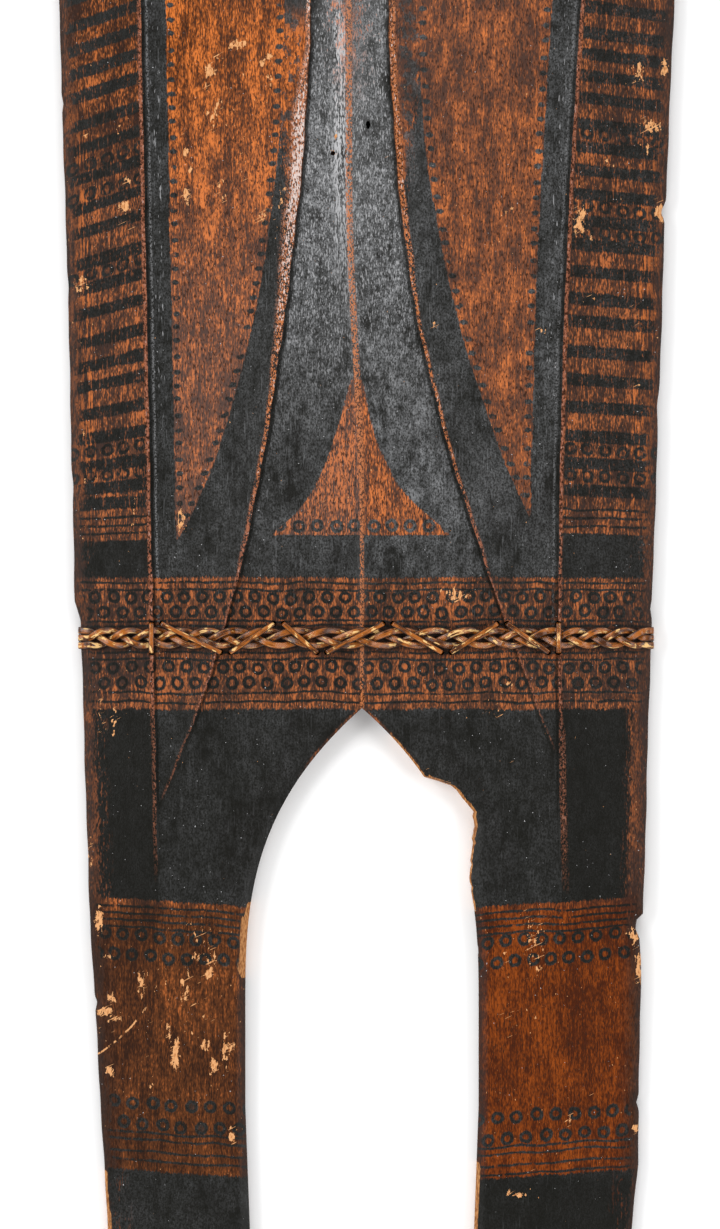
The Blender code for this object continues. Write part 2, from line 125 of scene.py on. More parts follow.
# The hand grip behind the boss, and two small old holes as (x, y, half width, half length, depth)
HOLLOW_HALF = (0.048, 0.062, 0.038)
GRIP_WIDTH, GRIP_THICK, GRIP_RECESS, GRIP_SPAN, GRIP_ROUND = 0.024, 0.018, 0.001, 0.132, 0.005
OLD_HOLES = (
    (0.0005, -0.0110, 0.0011, 0.0021, 0.012), (-0.0170, -0.0250, 0.0012, 0.0011, 0.004),
)

# Cane lashings: where each lies, how often its plait turns, and where its sewing cane turns back
CLEAR = 0.0003
LASHINGS = {
    "lower": {
        "y": -0.2665,
        "half_turns": 13,
        "stitches": (-0.1025, -0.0707, -0.0442, -0.0225, 0.0105, 0.0397, 0.0675, 0.0905),
    },
    "upper": {
        "y": 0.3550,
        "half_turns": 9,
        "stitches": (-0.1040, -0.0520, 0.0, 0.0520, 0.1040),
    },
}
STRAND_WIDTH, STRAND_THICK, STRAND_SWING, STRAND_LIFT = 0.0034, 0.0011, 0.0038, 0.0018
STEPS_PER_HALF_TURN, TIGHTER_ENDS = 10, 0.20
PLAIT_END, TOP_BEND, BACK_BEND, BEND_SHARE = 0.0045, 0.0022, 0.0012, 0.3
STRAND_LANE, BACK_END = 0.0037, 0.0040
# Places along a strand's back, in from the rim, that keep its curve straight there
BACK_PLACES = (0.004, 0.020, 0.060)
SEWING_WIDTH, SEWING_THICK, SEWING_BEND, SEWING_ROOM = 0.0026, 0.0010, 0.0008, 0.0009
STITCH_OFFSET, STITCH_GAP, TIE_STEP, TAIL = 0.0071, 0.0052, 0.0052, 0.0010
BED_X, BED_Y = 0.0030, 0.0056
CHANNEL_DEPTH, CHANNEL_HALF, HOLE_RADIUS = 0.0037, 0.0089, 0.00155
PAST_SIDES, PAST_FACES = 0.2, 0.03
FULLER_STRAND = 1.06
CANE_CORNERS, CANE_SQUARENESS, CANE_SWELL, CANE_SWELL_RUN = 12, (0.6, 0.75), 0.07, 0.009
# How far apart two canes' fibres are taken from the same noise, in millimetres
CANES_APART = 1000
PHASES = (0.0, 2 * math.pi / 3, 4 * math.pi / 3)
STRAND_SAMPLES, SEWING_SAMPLES, STITCH_SAMPLES = 2, 3, 5

# Rails of a half cross-section, from its outer edge inward, and how many cells lie between them
EDGE_SIDE, EDGE_TOP, STRIP, GROOVE, CREST, FOOT, GAP_OUT, GAP_IN, RIDGE, CENTRE = range(10)
OUTER_CELLS = {EDGE_SIDE: 3, EDGE_TOP: 16, STRIP: 3, GROOVE: 28, CREST: 3, FOOT: 8}
INNER_CELLS = {GAP_IN: 12, RIDGE: 4}
BOW = {EDGE_SIDE: 0.5, EDGE_TOP: 0.8, GROOVE: 1.7, FOOT: 1.3, GAP_IN: 1.2}
FINE_ROW, COARSE_ROW = 0.0022, 0.0040
HOLLOW_SEGMENTS, GRIP_SEGMENTS, HOLE_SEGMENTS = (72, 41), 5, 16
PLANK_SHARP, CANE_SHARP = 32, 60
RIM_WAVER, GROOVE_WAVER, CREST_WAVER, SPLIT_WAVER = 0.0005, 0.0002, 0.0004, 0.0005


def ease(t):
    """0 below 0, 1 above 1, and smooth between, for numbers and arrays."""
    t = np.clip(t, 0.0, 1.0)
    return t * t * (3 - 2 * t)


def along(knots, y):
    """The value at y on the line through the knots (y, value)."""
    return np.interp(y, [knot[0] for knot in knots], [knot[1] for knot in knots])


def reach_at(y):
    """The distance from the boss, as a share of that to the legs' or prongs' roots."""
    away = y - BOSS_Y
    return np.where(away > 0, away / PRONG_REACH, -away / LEG_REACH)


def boss_at(y):
    """1 at the boss's middle, falling to 0 along the plank."""
    return np.exp(-((np.abs(y - BOSS_Y) / BOSS_LENGTH) ** BOSS_POWER))


def waver(place, run, phase):
    """An uneven wave from -1 to 1."""
    return (np.sin(place / run + phase) + np.sin(place / run * 2.7 + 2.1 * phase)) / 2


def edge_x(side, y):
    """The outer edge, which wavers and has its worn nicks."""
    half = along(LEFT_EDGE if side == LEFT else RIGHT_EDGE, y)
    half = half - RIM_WAVER * (1 + waver(y, 0.013, side)) / 2
    for nick_side, middle, run, depth in NICKS:
        if nick_side == side:
            half = half - depth * np.exp(-(((y - middle) / run) ** 2))
    return side * half


def groove_x(side, s):
    """The straight step beside each border strip; the right one bows inward."""
    wander = GROOVE_WAVER * waver(s, 0.031, side)
    if side == LEFT:
        return LEFT_GROOVE + LEFT_GROOVE_LEAN * s + wander
    return RIGHT_GROOVE + RIGHT_GROOVE_BOW * ((s - BOW_MIDDLE) / BOW_REACH) ** 2 + wander


def crest_x(side, s):
    """The curved crests, close together beside the boss and spreading to the grooves."""
    middle = CREST_MIDDLE + CREST_SHIFT * ease((s - CREST_SHIFT_FROM) / CREST_SHIFT_RUN)
    wander = CREST_WAVER * waver(s, 0.027, 4 + side)
    return middle + side * (CREST_NECK + CREST_FLARE * s**CREST_POWER) + wander


def ridge_x(s):
    """The centre ridge, which wanders to the left near the boss."""
    return RIDGE_MIDDLE + RIDGE_SHIFT * ease((s - RIDGE_SHIFT_FROM) / RIDGE_SHIFT_RUN)


def pointed(depth, half, rise):
    """Half the width of a pointed arch, at a depth below its apex."""
    curve = half * (1 - np.clip(1 - depth / rise, 0, 1) ** ARCH_POWER)
    return np.where(depth > 0, curve, 0.0)


def centre_x(side, y):
    """The inner edge of a half: the centre ridge, and the side of the arch below it."""
    depth = BOSS_Y - LEG_REACH - y
    half = pointed(depth, ARCH_HALF, ARCH_RISE)
    half = half - LEG_CLOSING * np.maximum(0.0, depth - LEG_PLAIN_RUN)
    x = ridge_x(reach_at(y)) + side * half
    if side == RIGHT:
        broken = (y > BROKEN_EDGE[0][0]) & (y < BROKEN_EDGE[-1][0])
        split = along(BROKEN_EDGE, y) + SPLIT_WAVER * waver(y, 0.0016, 1.0)
        x = np.where(broken, np.maximum(x, split), x)
    return x


def rails(side, y):
    """The points (x, z) where a half cross-section bends, from its outer edge to its inner one."""
    s = reach_at(y)
    boss = boss_at(y)
    carved = 1 - ease((s - CARVING_END) / CARVING_FADE)
    plank = PLANK - TIP_THINNING * ease((s - 1) / TIP_THINNING_RUN)
    legs = ease((BOSS_Y - LEG_REACH + LEG_START_RISE - y) / LEG_START_RUN)

    edge = edge_x(side, y)
    edge_z = plank - LEG_EDGE_FALL - (EDGE_FALL - LEG_EDGE_FALL) * carved
    groove = groove_x(side, s)
    strip_z = plank + STRIP_RISE * boss
    groove_z = strip_z - GROOVE_DEPTH * carved
    inner_groove = groove - side * GROOVE_RUN

    room = np.maximum(side * (inner_groove - crest_x(side, s)), LEAST_ROOM)
    crest = inner_groove - side * room
    raised = ease((room - LEAST_ROOM) / CREST_ROOM)
    crest_z = groove_z + raised * (CREST_RISE + CREST_BOSS_RISE * boss)
    foot = crest - side * CREST_RUN
    foot_z = crest_z - raised * CREST_STEP

    centre = centre_x(side, y)
    ridge = centre + side * (RIDGE_HALF + (ARCH_BEVEL - RIDGE_HALF) * legs)
    risen = CREST_RISE - CREST_STEP + FIELD_RISE + (CREST_BOSS_RISE + FIELD_BOSS_RISE) * boss
    ridge_z = groove_z + risen * (1 - ease((s - FIELD_LEVELS) / FIELD_LEVEL_RUN))
    centre_z = ridge_z + RIDGE_LIFT * (1 - legs) * carved - ARCH_BEVEL_DROP * legs

    gap = foot + (ridge - foot) * GAP_SHARE
    gap_z = foot_z + (ridge_z - foot_z) * GAP_SHARE ** BOW[FOOT]
    gap_half = pointed(y - BOSS_Y - PRONG_REACH, GAP_HALF, GAP_RISE)
    return (
        (edge, edge_z - EDGE_ROUND),
        (edge - side * EDGE_ROUND, edge_z),
        (groove, strip_z),
        (inner_groove, groove_z),
        (crest, crest_z),
        (foot, foot_z),
        (gap + side * gap_half, gap_z),
        (gap - side * gap_half, gap_z),
        (ridge, ridge_z),
        (centre, centre_z),
    )


def front_points(side, columns, rows):
    """The points of the carved front, as an array [column, row, xyz]."""
    section, mirrored = rails(side, rows), rails(-side, rows)
    points = np.empty((len(columns), len(rows), 3))
    for i, column in enumerate(columns):
        rail = min(int(column), CENTRE - 1)
        t = column - rail
        (x0, z0), (x1, z1) = section[rail], section[rail + 1]
        x = x0 + (x1 - x0) * t
        z = z0 + (z1 - z0) * t ** BOW.get(rail, 1.0)
        # Each leg's or prong's end is rounded off towards its two sides
        upper = (section[EDGE_SIDE][0], section[GAP_OUT][0])
        if column > GAP_OUT:
            upper = (section[GAP_IN][0], mirrored[GAP_IN][0])
        start = np.where(rows < 0, section[EDGE_SIDE][0], upper[0])
        end = np.where(rows < 0, section[CENTRE][0], upper[1])
        off_middle = np.abs(2 * x - start - end) / np.abs(end - start)
        rounding = np.maximum(0.0, off_middle - TIP_FLAT) / (1 - TIP_FLAT)
        drop = TIP_DROP * rounding**2 * ease((np.abs(rows) - TOP_Y + TIP_RUN) / TIP_RUN)
        points[i] = np.stack((x, rows - np.copysign(drop, rows), z), axis=1)
    return points


def cell_columns(cells):
    """Evenly spaced columns between the rails, ending on the last one."""
    columns = []
    for rail, count in cells.items():
        columns += [rail + i / count for i in range(count)]
    return columns + [max(cells) + 1]


def row_stations(fine, coarse):
    """Rows close together on the lower body and legs, and further apart above."""
    middle = BOSS_Y
    lower = round((middle + TOP_Y) / fine)
    upper = round((TOP_Y - middle) / coarse)
    rows = list(np.linspace(-TOP_Y, middle, lower + 1)) + list(np.linspace(middle, TOP_Y, upper + 1))
    corners = [knot[0] for knot in RIGHT_EDGE[1:-1] + BROKEN_EDGE]
    corners += [BOSS_Y - LEG_REACH, BOSS_Y + PRONG_REACH]
    kept = []
    for y in sorted(set(rows)):
        nearest = min(corners, key=lambda corner: abs(corner - y))
        kept.append(nearest if abs(nearest - y) < fine / 2 else y)
    return np.array(sorted(set(kept) | set(corners)))


def place_grid(bm, points):
    """A grid whose points are moved to points[column][row]."""
    across, up = len(points) - 1, len(points[0]) - 1
    grid = bmesh.ops.create_grid(bm, x_segments=across, y_segments=up, size=1.0)
    for vert in grid["verts"]:
        i = round((vert.co.x + 1) / 2 * across)
        j = round((vert.co.y + 1) / 2 * up)
        vert.co = points[i][j]


def add_piece(name, mesh, finish, slot, *nodes):
    """A finished piece that rides on the shield and stands for CAD nodes."""
    made = bpy.data.objects.new(name, mesh)
    bpy.context.scene.collection.objects.link(made)
    mesh.materials.clear()
    mesh.materials.append(finish)
    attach(made, "root")
    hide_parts(*nodes)
    return made


def smooth_shading(mesh, sharp_degrees):
    """Smooth faces that stay sharp at edges over an angle."""
    mesh.shade_smooth()
    mesh.set_sharp_from_angle(angle=math.radians(sharp_degrees))


# The plank


def plank_form(bm):
    """The plank with its carved front and flat back, before its holes and its grip."""
    rows = row_stations(FINE_ROW, COARSE_ROW)
    for side in (LEFT, RIGHT):
        for cells in (OUTER_CELLS, INNER_CELLS):
            place_grid(bm, front_points(side, cell_columns(cells), rows))
    bmesh.ops.remove_doubles(bm, verts=bm.verts[:], dist=WELD)
    lowered = bmesh.ops.extrude_face_region(bm, geom=bm.faces[:])
    for item in lowered["geom"]:
        if isinstance(item, bmesh.types.BMVert):
            item.co.z = 0.0
    back = [item for item in lowered["geom"] if isinstance(item, bmesh.types.BMFace)]
    bmesh.ops.dissolve_faces(bm, faces=back)
    bmesh.ops.recalc_face_normals(bm, faces=bm.faces[:])


def add_cutter(name, bm, target, operation="DIFFERENCE"):
    """A helper that is cut from the target, or joined to it."""
    bmesh.ops.recalc_face_normals(bm, faces=bm.faces[:])
    mesh = bpy.data.meshes.new(name)
    bm.to_mesh(mesh)
    bm.free()
    helper = bpy.data.objects.new(name, mesh)
    bpy.context.scene.collection.objects.link(helper)
    cut = target.modifiers.new(name, "BOOLEAN")
    cut.operation = operation
    cut.solver = "MANIFOLD"
    cut.object = helper


def add_box(bm, low, high):
    """A box between two corners."""
    made = bmesh.ops.create_cube(bm, size=1.0)
    for vert in made["verts"]:
        vert.co = Vector(high[i] if vert.co[i] > 0 else low[i] for i in range(3))


def add_grip(plank):
    """The oval hollow behind the boss, and the upright bar left standing in it."""
    hollow = bmesh.new()
    around, down = HOLLOW_SEGMENTS
    bmesh.ops.create_uvsphere(hollow, u_segments=around, v_segments=down, radius=1.0)
    bmesh.ops.scale(hollow, vec=HOLLOW_HALF, verts=hollow.verts[:])
    middle = Vector((float(ridge_x(0.0)), BOSS_Y, 0.0))
    bmesh.ops.translate(hollow, vec=middle, verts=hollow.verts[:])
    add_cutter("hollow", hollow, plank)

    bar = bmesh.new()
    half = Vector((GRIP_WIDTH, GRIP_SPAN, 0)) / 2
    add_box(bar, (-half.x, -half.y, GRIP_RECESS), (half.x, half.y, GRIP_THICK))
    long_edges = [e for e in bar.edges if abs(e.verts[0].co.y - e.verts[1].co.y) > GRIP_WIDTH]
    bmesh.ops.bevel(
        bar,
        geom=long_edges,
        offset=GRIP_ROUND,
        segments=GRIP_SEGMENTS,
        profile=0.5,
        affect="EDGES",
        material=-1,
    )
    bmesh.ops.translate(bar, vec=middle, verts=bar.verts[:])
    add_cutter("grip_bar", bar, plank, "UNION")


def stitch_places(lashing):
    """The turns of the sewing cane, from left to right, as (x, offset from the lashing's middle)."""
    return [(x, STITCH_OFFSET * (-1) ** i) for i, x in enumerate(lashing["stitches"])]


def stitch_holes(lashing):
    """Where the sewing cane goes through the plank, in the order it does."""
    turns = stitch_places(lashing)
    first, last = turns[0], turns[-1]
    holes = [(first[0] - TIE_STEP, STITCH_OFFSET), (first[0] - TIE_STEP, -STITCH_OFFSET), first]
    for x, offset in turns[1:-1]:
        holes.append((x - STITCH_GAP / 2, offset))
        holes.append((x + STITCH_GAP / 2, offset))
    holes.append(last)
    holes.append((last[0] + TIE_STEP, -last[1]))
    holes.append((last[0] + TIE_STEP, last[1]))
    return holes


def cut_for_lashings(plank):
    """The channels across the back that the lashings lie in, and the stitches' holes."""
    channels = bmesh.new()
    holes = bmesh.new()
    for lashing in LASHINGS.values():
        y = lashing["y"]
        low = (-PAST_SIDES, y - CHANNEL_HALF, -PAST_FACES)
        add_box(channels, low, (PAST_SIDES, y + CHANNEL_HALF, CHANNEL_DEPTH))
        for x, offset in stitch_holes(lashing):
            add_round_cutter(holes, (x, y + offset, PLANK), (HOLE_RADIUS, HOLE_RADIUS, PAST_FACES))
    add_cutter("back_channels", channels, plank)
    add_cutter("stitch_holes", holes, plank)


def add_round_cutter(bm, middle, half):
    """A round helper, as wide, long and deep as twice its half sizes."""
    ring = bmesh.ops.create_cone(
        bm, cap_ends=True, segments=HOLE_SEGMENTS, radius1=1.0, radius2=1.0, depth=2.0
    )
    bmesh.ops.scale(bm, vec=half, verts=ring["verts"])
    bmesh.ops.translate(bm, vec=middle, verts=ring["verts"])


def cut_old_holes(plank, surface):
    """The two small old holes near the boss."""
    holes = bmesh.new()
    for x, y, half_width, half_length, depth in OLD_HOLES:
        add_round_cutter(holes, (x, y, surface_z(surface, x, y)), (half_width, half_length, depth))
    add_cutter("old_holes", holes, plank)


def surface_z(surface, x, y):
    """The height of the uncut front at a place."""
    hit = surface.ray_cast(Vector((x, y, 1.0)), DOWN)[0]
    return hit.z if hit else 0.0


def cut_plank_mesh(bm, surface):
    """The plank's mesh with its hollow, grip, channels and holes."""
    uncut = bpy.data.meshes.new("uncut_plank")
    bm.to_mesh(uncut)
    plank = bpy.data.objects.new("uncut_plank", uncut)
    bpy.context.scene.collection.objects.link(plank)
    add_grip(plank)
    cut_for_lashings(plank)
    cut_old_holes(plank, surface)
    graph = bpy.context.evaluated_depsgraph_get()
    mesh = bpy.data.meshes.new_from_object(plank.evaluated_get(graph))
    for helper in [modifier.object for modifier in plank.modifiers]:
        bpy.data.objects.remove(helper)
    bpy.data.objects.remove(plank)
    mesh.name = "plank"
    return mesh


# What the paint follows, kept on the plank's points in millimetres

# Painted bars on the border strips, as distances from the boss
LEFT_BARS = (
    25, 39, 51, 63, 75, 89.5, 101.5, 116.5, 131.5, 143.5, 159.5, 172.5,
    185, 199.5, 212, 222, 236, 248.5, 262.5, 274, 282,
)
RIGHT_BARS = (
    22, 35, 48, 58.5, 69.5, 80.5, 93.5, 105, 116.5, 128.5, 141.5, 153.5,
    167, 180.5, 192, 207, 221, 234.5, 249, 262.5, 276,
)
# How steeply the bars and the lines on the legs slant, and where across they are measured
LEFT_SLANT, RIGHT_SLANT = ((0, -0.33), (145, -0.31), (236, -0.18), (300, -0.02)), ((0, 0.13), (300, 0.04))
LEFT_STRIP_MIDDLE, RIGHT_STRIP_MIDDLE = -133.5, 124.0
LEG_SLANT, LEG_MIDDLE = 0.065, 98.0
RIGHT_STRIP_LEAD, RIGHT_LEG_LAG = 3.4, 4.3
# Where the slant, the lead and the lag set in, as distance from the boss and run
LEG_SLANT_FROM, LEG_LAG_FROM, STRIP_LEAD_FROM = (430, 30), (540, 30), (276, 6)

# The brown panels: distance of their straight side from the groove, width, length and two powers
LEFT_PANEL, RIGHT_PANEL = (12.5, 60.0, 300.5, 2.2, 0.85), (14.5, 68.0, 289.0, 1.9, 0.95)
SPIRE_TOP, SPIRE_BASE = 220.0, 297.5
LEFT_SPIRE = ((212, 0.0), (230, 6.5), (250, 12.5), (270, 21.5), (283, 29.0), (297.5, 45.0), (310, 62.0))
RIGHT_SPIRE = ((212, 0.5), (232, 4.0), (250, 7.0), (270, 16.5), (281, 25.0), (297.5, 45.0), (310, 62.0))
# The rounding of the spire's corners, and how much a distance across counts beside its leaning flanks
SPIRE_SOFTENING, SPIRE_LEAN = 7.0, 0.75

# Where paint and wood have chipped to bare wood, as (x, y, half width, half length, strength)
CHIPS = (
    (-121.5, -50.0, 3.4, 4.0, 1.1), (-120.0, -38.5, 2.5, 3.0, 0.9), (-124.0, -12.5, 2.5, 4.0, 0.7),
    (-140.0, -15.0, 3.0, 4.0, 0.7), (-142.5, -89.0, 4.5, 6.0, 0.9), (-121.0, -60.0, 8.0, 8.0, 0.5),
    (-128.0, -103.0, 9.0, 6.0, 0.55), (-130.0, -118.0, 6.0, 4.0, 0.5), (-131.0, -133.0, 4.0, 5.0, 0.4),
    (-141.5, -165.0, 0.8, 32.0, 0.75), (-137.0, -190.0, 6.0, 8.0, 0.35), (-116.8, -205.0, 1.6, 14.0, 0.9),
    (-121.0, -222.0, 2.0, 7.0, 0.6), (-127.0, -310.0, 3.0, 14.0, 0.75), (-133.5, -302.0, 2.5, 16.0, 0.7),
    (-64.5, 29.5, 5.5, 2.6, 1.15), (-75.0, 23.0, 2.0, 3.5, 1.0), (-79.5, 16.5, 2.6, 3.8, 1.15),
    (-76.0, 16.5, 1.8, 2.6, 1.0), (-80.0, 8.7, 1.9, 2.5, 0.95), (-63.0, 14.5, 1.8, 3.4, 0.95),
    (-52.0, 19.5, 2.0, 2.4, 1.1), (-49.0, 22.5, 1.9, 3.6, 1.15), (-45.5, 21.5, 2.0, 2.5, 0.85),
    (-48.5, 11.5, 3.0, 4.5, 0.8), (-74.5, 1.0, 1.8, 3.5, 0.95), (-77.5, -4.0, 2.4, 5.5, 1.0),
    (-77.5, -12.0, 2.0, 4.5, 0.95), (-91.0, -24.0, 1.9, 2.8, 1.1), (-88.0, -31.5, 1.8, 4.5, 0.9),
    (-90.2, -45.0, 2.5, 5.5, 1.15), (-73.5, -40.0, 1.9, 3.0, 0.95), (-71.5, -46.5, 2.0, 3.5, 0.9),
    (-52.0, -56.0, 3.4, 5.5, 0.9), (-70.0, -12.0, 24.0, 46.0, 0.42), (-43.0, -50.0, 7.0, 22.0, 0.60),
    (-70.0, -90.0, 30.0, 30.0, 0.2), (-85.0, -185.0, 8.0, 20.0, 0.35), (-93.0, -208.0, 3.0, 8.0, 0.9),
    (135.5, 16.5, 3.5, 6.0, 1.0), (149.0, 19.5, 2.8, 4.5, 1.1), (143.0, -10.5, 6.0, 4.5, 1.0),
    (139.0, -21.5, 4.0, 5.0, 0.8), (120.5, -29.5, 3.0, 4.0, 0.8), (131.0, 12.0, 9.0, 16.0, 0.45),
    (146.5, -53.5, 3.0, 5.0, 1.3), (106.5, -57.0, 4.0, 12.0, 0.95), (111.0, -66.0, 4.0, 7.0, 0.7),
    (97.5, -6.5, 1.0, 1.6, 1.4), (133.0, -105.0, 9.0, 14.0, 0.4), (113.0, -95.0, 3.0, 3.5, 0.8),
    (135.0, -140.0, 3.0, 3.0, 0.8), (70.0, -54.0, 8.0, 6.0, 0.6), (88.0, -113.0, 6.0, 5.0, 0.55),
    (17.5, 8.0, 3.0, 7.0, 0.6), (-15.5, -15.0, 2.0, 4.0, 0.85), (-16.5, -24.5, 1.9, 1.9, 0.95),
    (34.0, -110.0, 4.0, 2.0, 0.8), (90.0, -100.0, 18.0, 30.0, 0.22),
    (44.0, -245.0, 8.0, 3.5, 1.0), (71.0, -289.0, 4.0, 12.0, 0.7), (64.0, -304.0, 10.0, 8.0, 0.6),
    (-9.0, -269.0, 5.0, 3.0, 0.7), (60.0, -330.0, 34.0, 6.0, 0.35), (-20.0, -306.0, 22.0, 18.0, 0.3),
    (-130.0, -427.0, 4.0, 4.0, 0.75), (-131.5, -453.5, 4.0, 2.8, 1.25), (-126.0, -457.5, 4.2, 2.4, 1.05),
    (-128.0, -447.5, 2.5, 4.5, 0.95), (-112.5, -440.0, 4.5, 8.0, 0.85), (-91.0, -441.0, 3.4, 13.0, 0.85),
    (-77.5, -427.0, 3.6, 9.0, 0.8), (-79.0, -434.5, 2.4, 3.8, 1.2), (-85.0, -425.5, 2.6, 3.0, 0.9),
    (-96.0, -475.0, 2.2, 8.5, 1.35), (-99.0, -464.0, 2.4, 5.0, 0.85), (-80.5, -471.0, 4.2, 4.5, 0.95),
    (-76.5, -481.0, 2.4, 6.5, 1.1), (-70.5, -472.0, 2.6, 12.0, 0.9), (-67.0, -471.0, 4.0, 2.2, 0.9),
    (-128.0, -482.5, 4.5, 4.0, 0.9), (-107.5, -490.0, 2.6, 6.0, 0.65), (-67.5, -516.0, 3.0, 5.5, 1.0),
    (-95.0, -455.0, 38.0, 40.0, 0.42), (-85.0, -413.0, 22.0, 8.0, 0.5), (-134.0, -408.0, 2.2, 9.0, 1.15),
    (-138.5, -375.0, 1.8, 14.0, 0.7),
    (84.0, -420.0, 8.0, 22.0, 0.65), (68.0, -430.0, 5.0, 12.0, 0.55), (92.0, -408.0, 26.0, 9.0, 0.42),
    (133.0, -415.5, 5.0, 6.0, 0.9), (137.0, -432.0, 4.0, 9.0, 1.1), (75.0, -460.0, 20.0, 18.0, 0.42),
    (110.0, -440.0, 16.0, 20.0, 0.28), (101.0, -509.0, 4.0, 6.0, 0.7), (135.0, -513.0, 3.0, 4.0, 1.0),
    (75.0, -545.0, 9.0, 2.5, 0.9), (90.0, -500.0, 34.0, 40.0, 0.26), (95.0, -538.0, 24.0, 7.0, 0.35),
    (4.0, -8.0, 3.5, 1.6, 0.5), (-66.0, -157.5, 9.0, 5.0, 0.35), (-54.5, -66.0, 1.5, 6.0, 0.5),
)
# The long scratch, as middle x and y, angle in degrees and half length
LONG_SCRATCH = (-121.7, -464.7, 43.8, 16.0)
# Stretches of the arch's edge where fresh wood shows, as (side, y from, y to, width)
FRESH_EDGES = (
    (RIGHT, -0.3350, -0.3150, 0.9), (RIGHT, -0.3700, -0.3350, 1.3), (RIGHT, -0.4020, -0.3640, 0.8),
    (LEFT, -0.4330, -0.4080, 3.6),
    (LEFT, -0.4080, -0.3990, 1.8), (RIGHT, -0.5950, -0.5300, 1.8),
)
FRESH_RIM = (LEFT, -0.5900, -0.5340, 1.6)
CHIP_FALL, EDGE_SPLIT, RIM_SPLIT, BACK_NORMAL = 0.7, 1.5, 1.4, -0.9
# Distances in millimetres beyond which the arch and its split edges no longer count
FAR_FROM_ARCH, FAR_FROM_SPLIT = 60.0, 40.0


def away_from_boss(y):
    """Distance from the boss in millimetres, with the prongs' shorter half stretched to the legs' one."""
    return reach_at(y) * LEG_REACH / MM


def panel_inside(strip, v, shape):
    """How far inside a brown panel's outline a place is."""
    start, width, length, power, fullness = shape
    inward = -strip - start

    def width_at(reach):
        return width * (1 - np.clip(reach / length, 0, 1) ** power) ** fullness

    slope = width_at(v + 0.5) - width_at(v - 0.5)
    curve = (width_at(v) - inward) / np.sqrt(1 + slope**2)
    return np.where(v < length, np.minimum(inward, curve), -1.0 - (v - length))


def softened(knots, v, reach):
    """The line through the knots with its corners rounded over a reach."""
    return np.mean([along(knots, v + reach * shift) for shift in np.linspace(-1, 1, 7)], axis=0)


def bar_distance(v, bars):
    """Distance to the middle of the nearest bar."""
    return np.abs(v[:, None] - np.array(bars)[None, :]).min(axis=1)


def arch_outline(side, low, high):
    """Points along one side of the arch between two heights, 1 mm apart."""
    ys = np.arange(low, min(high, BOSS_Y - LEG_REACH), MM)
    return [(float(x), float(y)) for x, y in zip(centre_x(side, ys), ys)]


def nearest_distance(points, x, y, furthest):
    """Distance in millimetres from each place to the nearest of the points."""
    tree = kdtree.KDTree(len(points))
    for i, (px, py) in enumerate(points):
        tree.insert((px, py, 0.0), i)
    tree.balance()
    found = [tree.find((a, b, 0.0))[2] for a, b in zip(x, y)]
    return np.minimum(np.array(found) / MM, furthest)


def chip_density(x, y):
    """How likely a place is to be chipped to bare wood."""
    total = np.zeros(len(x))
    for chip_x, chip_y, half_width, half_length, strength in CHIPS:
        away = ((x / MM - chip_x) / half_width) ** 2 + ((y / MM - chip_y) / half_length) ** 2
        total = np.maximum(total, strength * np.exp(-CHIP_FALL * away))
    return total


def fresh_wood(x, y, left):
    """1 where the arch's edge or the rim has split to fresh wood, 0 where it hasn't."""
    fresh = np.zeros(len(x))
    for side, low, high, width in FRESH_EDGES:
        away = nearest_distance(arch_outline(side, low, high), x, y, FAR_FROM_SPLIT)
        fresh = np.maximum(fresh, np.clip(EDGE_SPLIT - away / width, 0, 1))
    side, low, high, width = FRESH_RIM
    rim = side * (edge_x(side, y) - x) / MM
    inside = (y > low) & (y < high) & (left if side == LEFT else ~left)
    return np.where(inside, np.maximum(fresh, np.clip(RIM_SPLIT - rim / width, 0, 1)), fresh)


def paint_guides(points, surface):
    """{name: values} for each guide that the paint follows, at the plank's points."""
    x, y, z = points.T
    s = reach_at(y)
    v = away_from_boss(y)
    ridge = x - ridge_x(s)
    left = ridge < 0

    def either(of_left, of_right):
        return np.where(left, of_left, of_right)

    across = x / MM
    strip = either(groove_x(LEFT, s) - x, x - groove_x(RIGHT, s)) / MM
    crest = either(rails(LEFT, y)[CREST][0] - x, x - rails(RIGHT, y)[CREST][0]) / MM
    rim = either(x - edge_x(LEFT, y), edge_x(RIGHT, y) - x) / MM
    slant = either(along(LEFT_SLANT, v), along(RIGHT_SLANT, v))
    middle = either(LEFT_STRIP_MIDDLE, RIGHT_STRIP_MIDDLE)
    barred = v - slant * (across - middle)
    bar = either(bar_distance(barred, LEFT_BARS), bar_distance(barred, RIGHT_BARS))
    lag = either(0.0, RIGHT_LEG_LAG) * set_in(v, LEG_LAG_FROM) * (y < BOSS_Y)
    slanted = LEG_SLANT * set_in(v, LEG_SLANT_FROM) * (np.abs(across) - LEG_MIDDLE)
    spire_half = either(softened(LEFT_SPIRE, v, SPIRE_SOFTENING), softened(RIGHT_SPIRE, v, SPIRE_SOFTENING))
    flank = SPIRE_LEAN * (spire_half - np.abs(ridge) / MM)
    spire = np.minimum(flank, np.minimum(SPIRE_BASE - v, v - SPIRE_TOP))
    outline = arch_outline(LEFT, -TOP_Y, 0) + arch_outline(RIGHT, -TOP_Y, 0)
    under = [surface_z(surface, a, b) - c for a, b, c in zip(x, y, z)]
    return {
        "reach": v,
        "drawn": v + slanted - lag,
        "barred": barred + either(0.0, RIGHT_STRIP_LEAD) * set_in(v, STRIP_LEAD_FROM),
        "bar": bar,
        "strip": strip,
        "crest": crest,
        "ridge": ridge / MM,
        "rim": rim,
        "arch": nearest_distance(outline, x, y, FAR_FROM_ARCH),
        "panel": either(panel_inside(strip, v, LEFT_PANEL), panel_inside(strip, v, RIGHT_PANEL)),
        "spire": spire,
        "chips": chip_density(x, y),
        "fresh": fresh_wood(x, y, left),
        "under": np.array(under) / MM,
    }


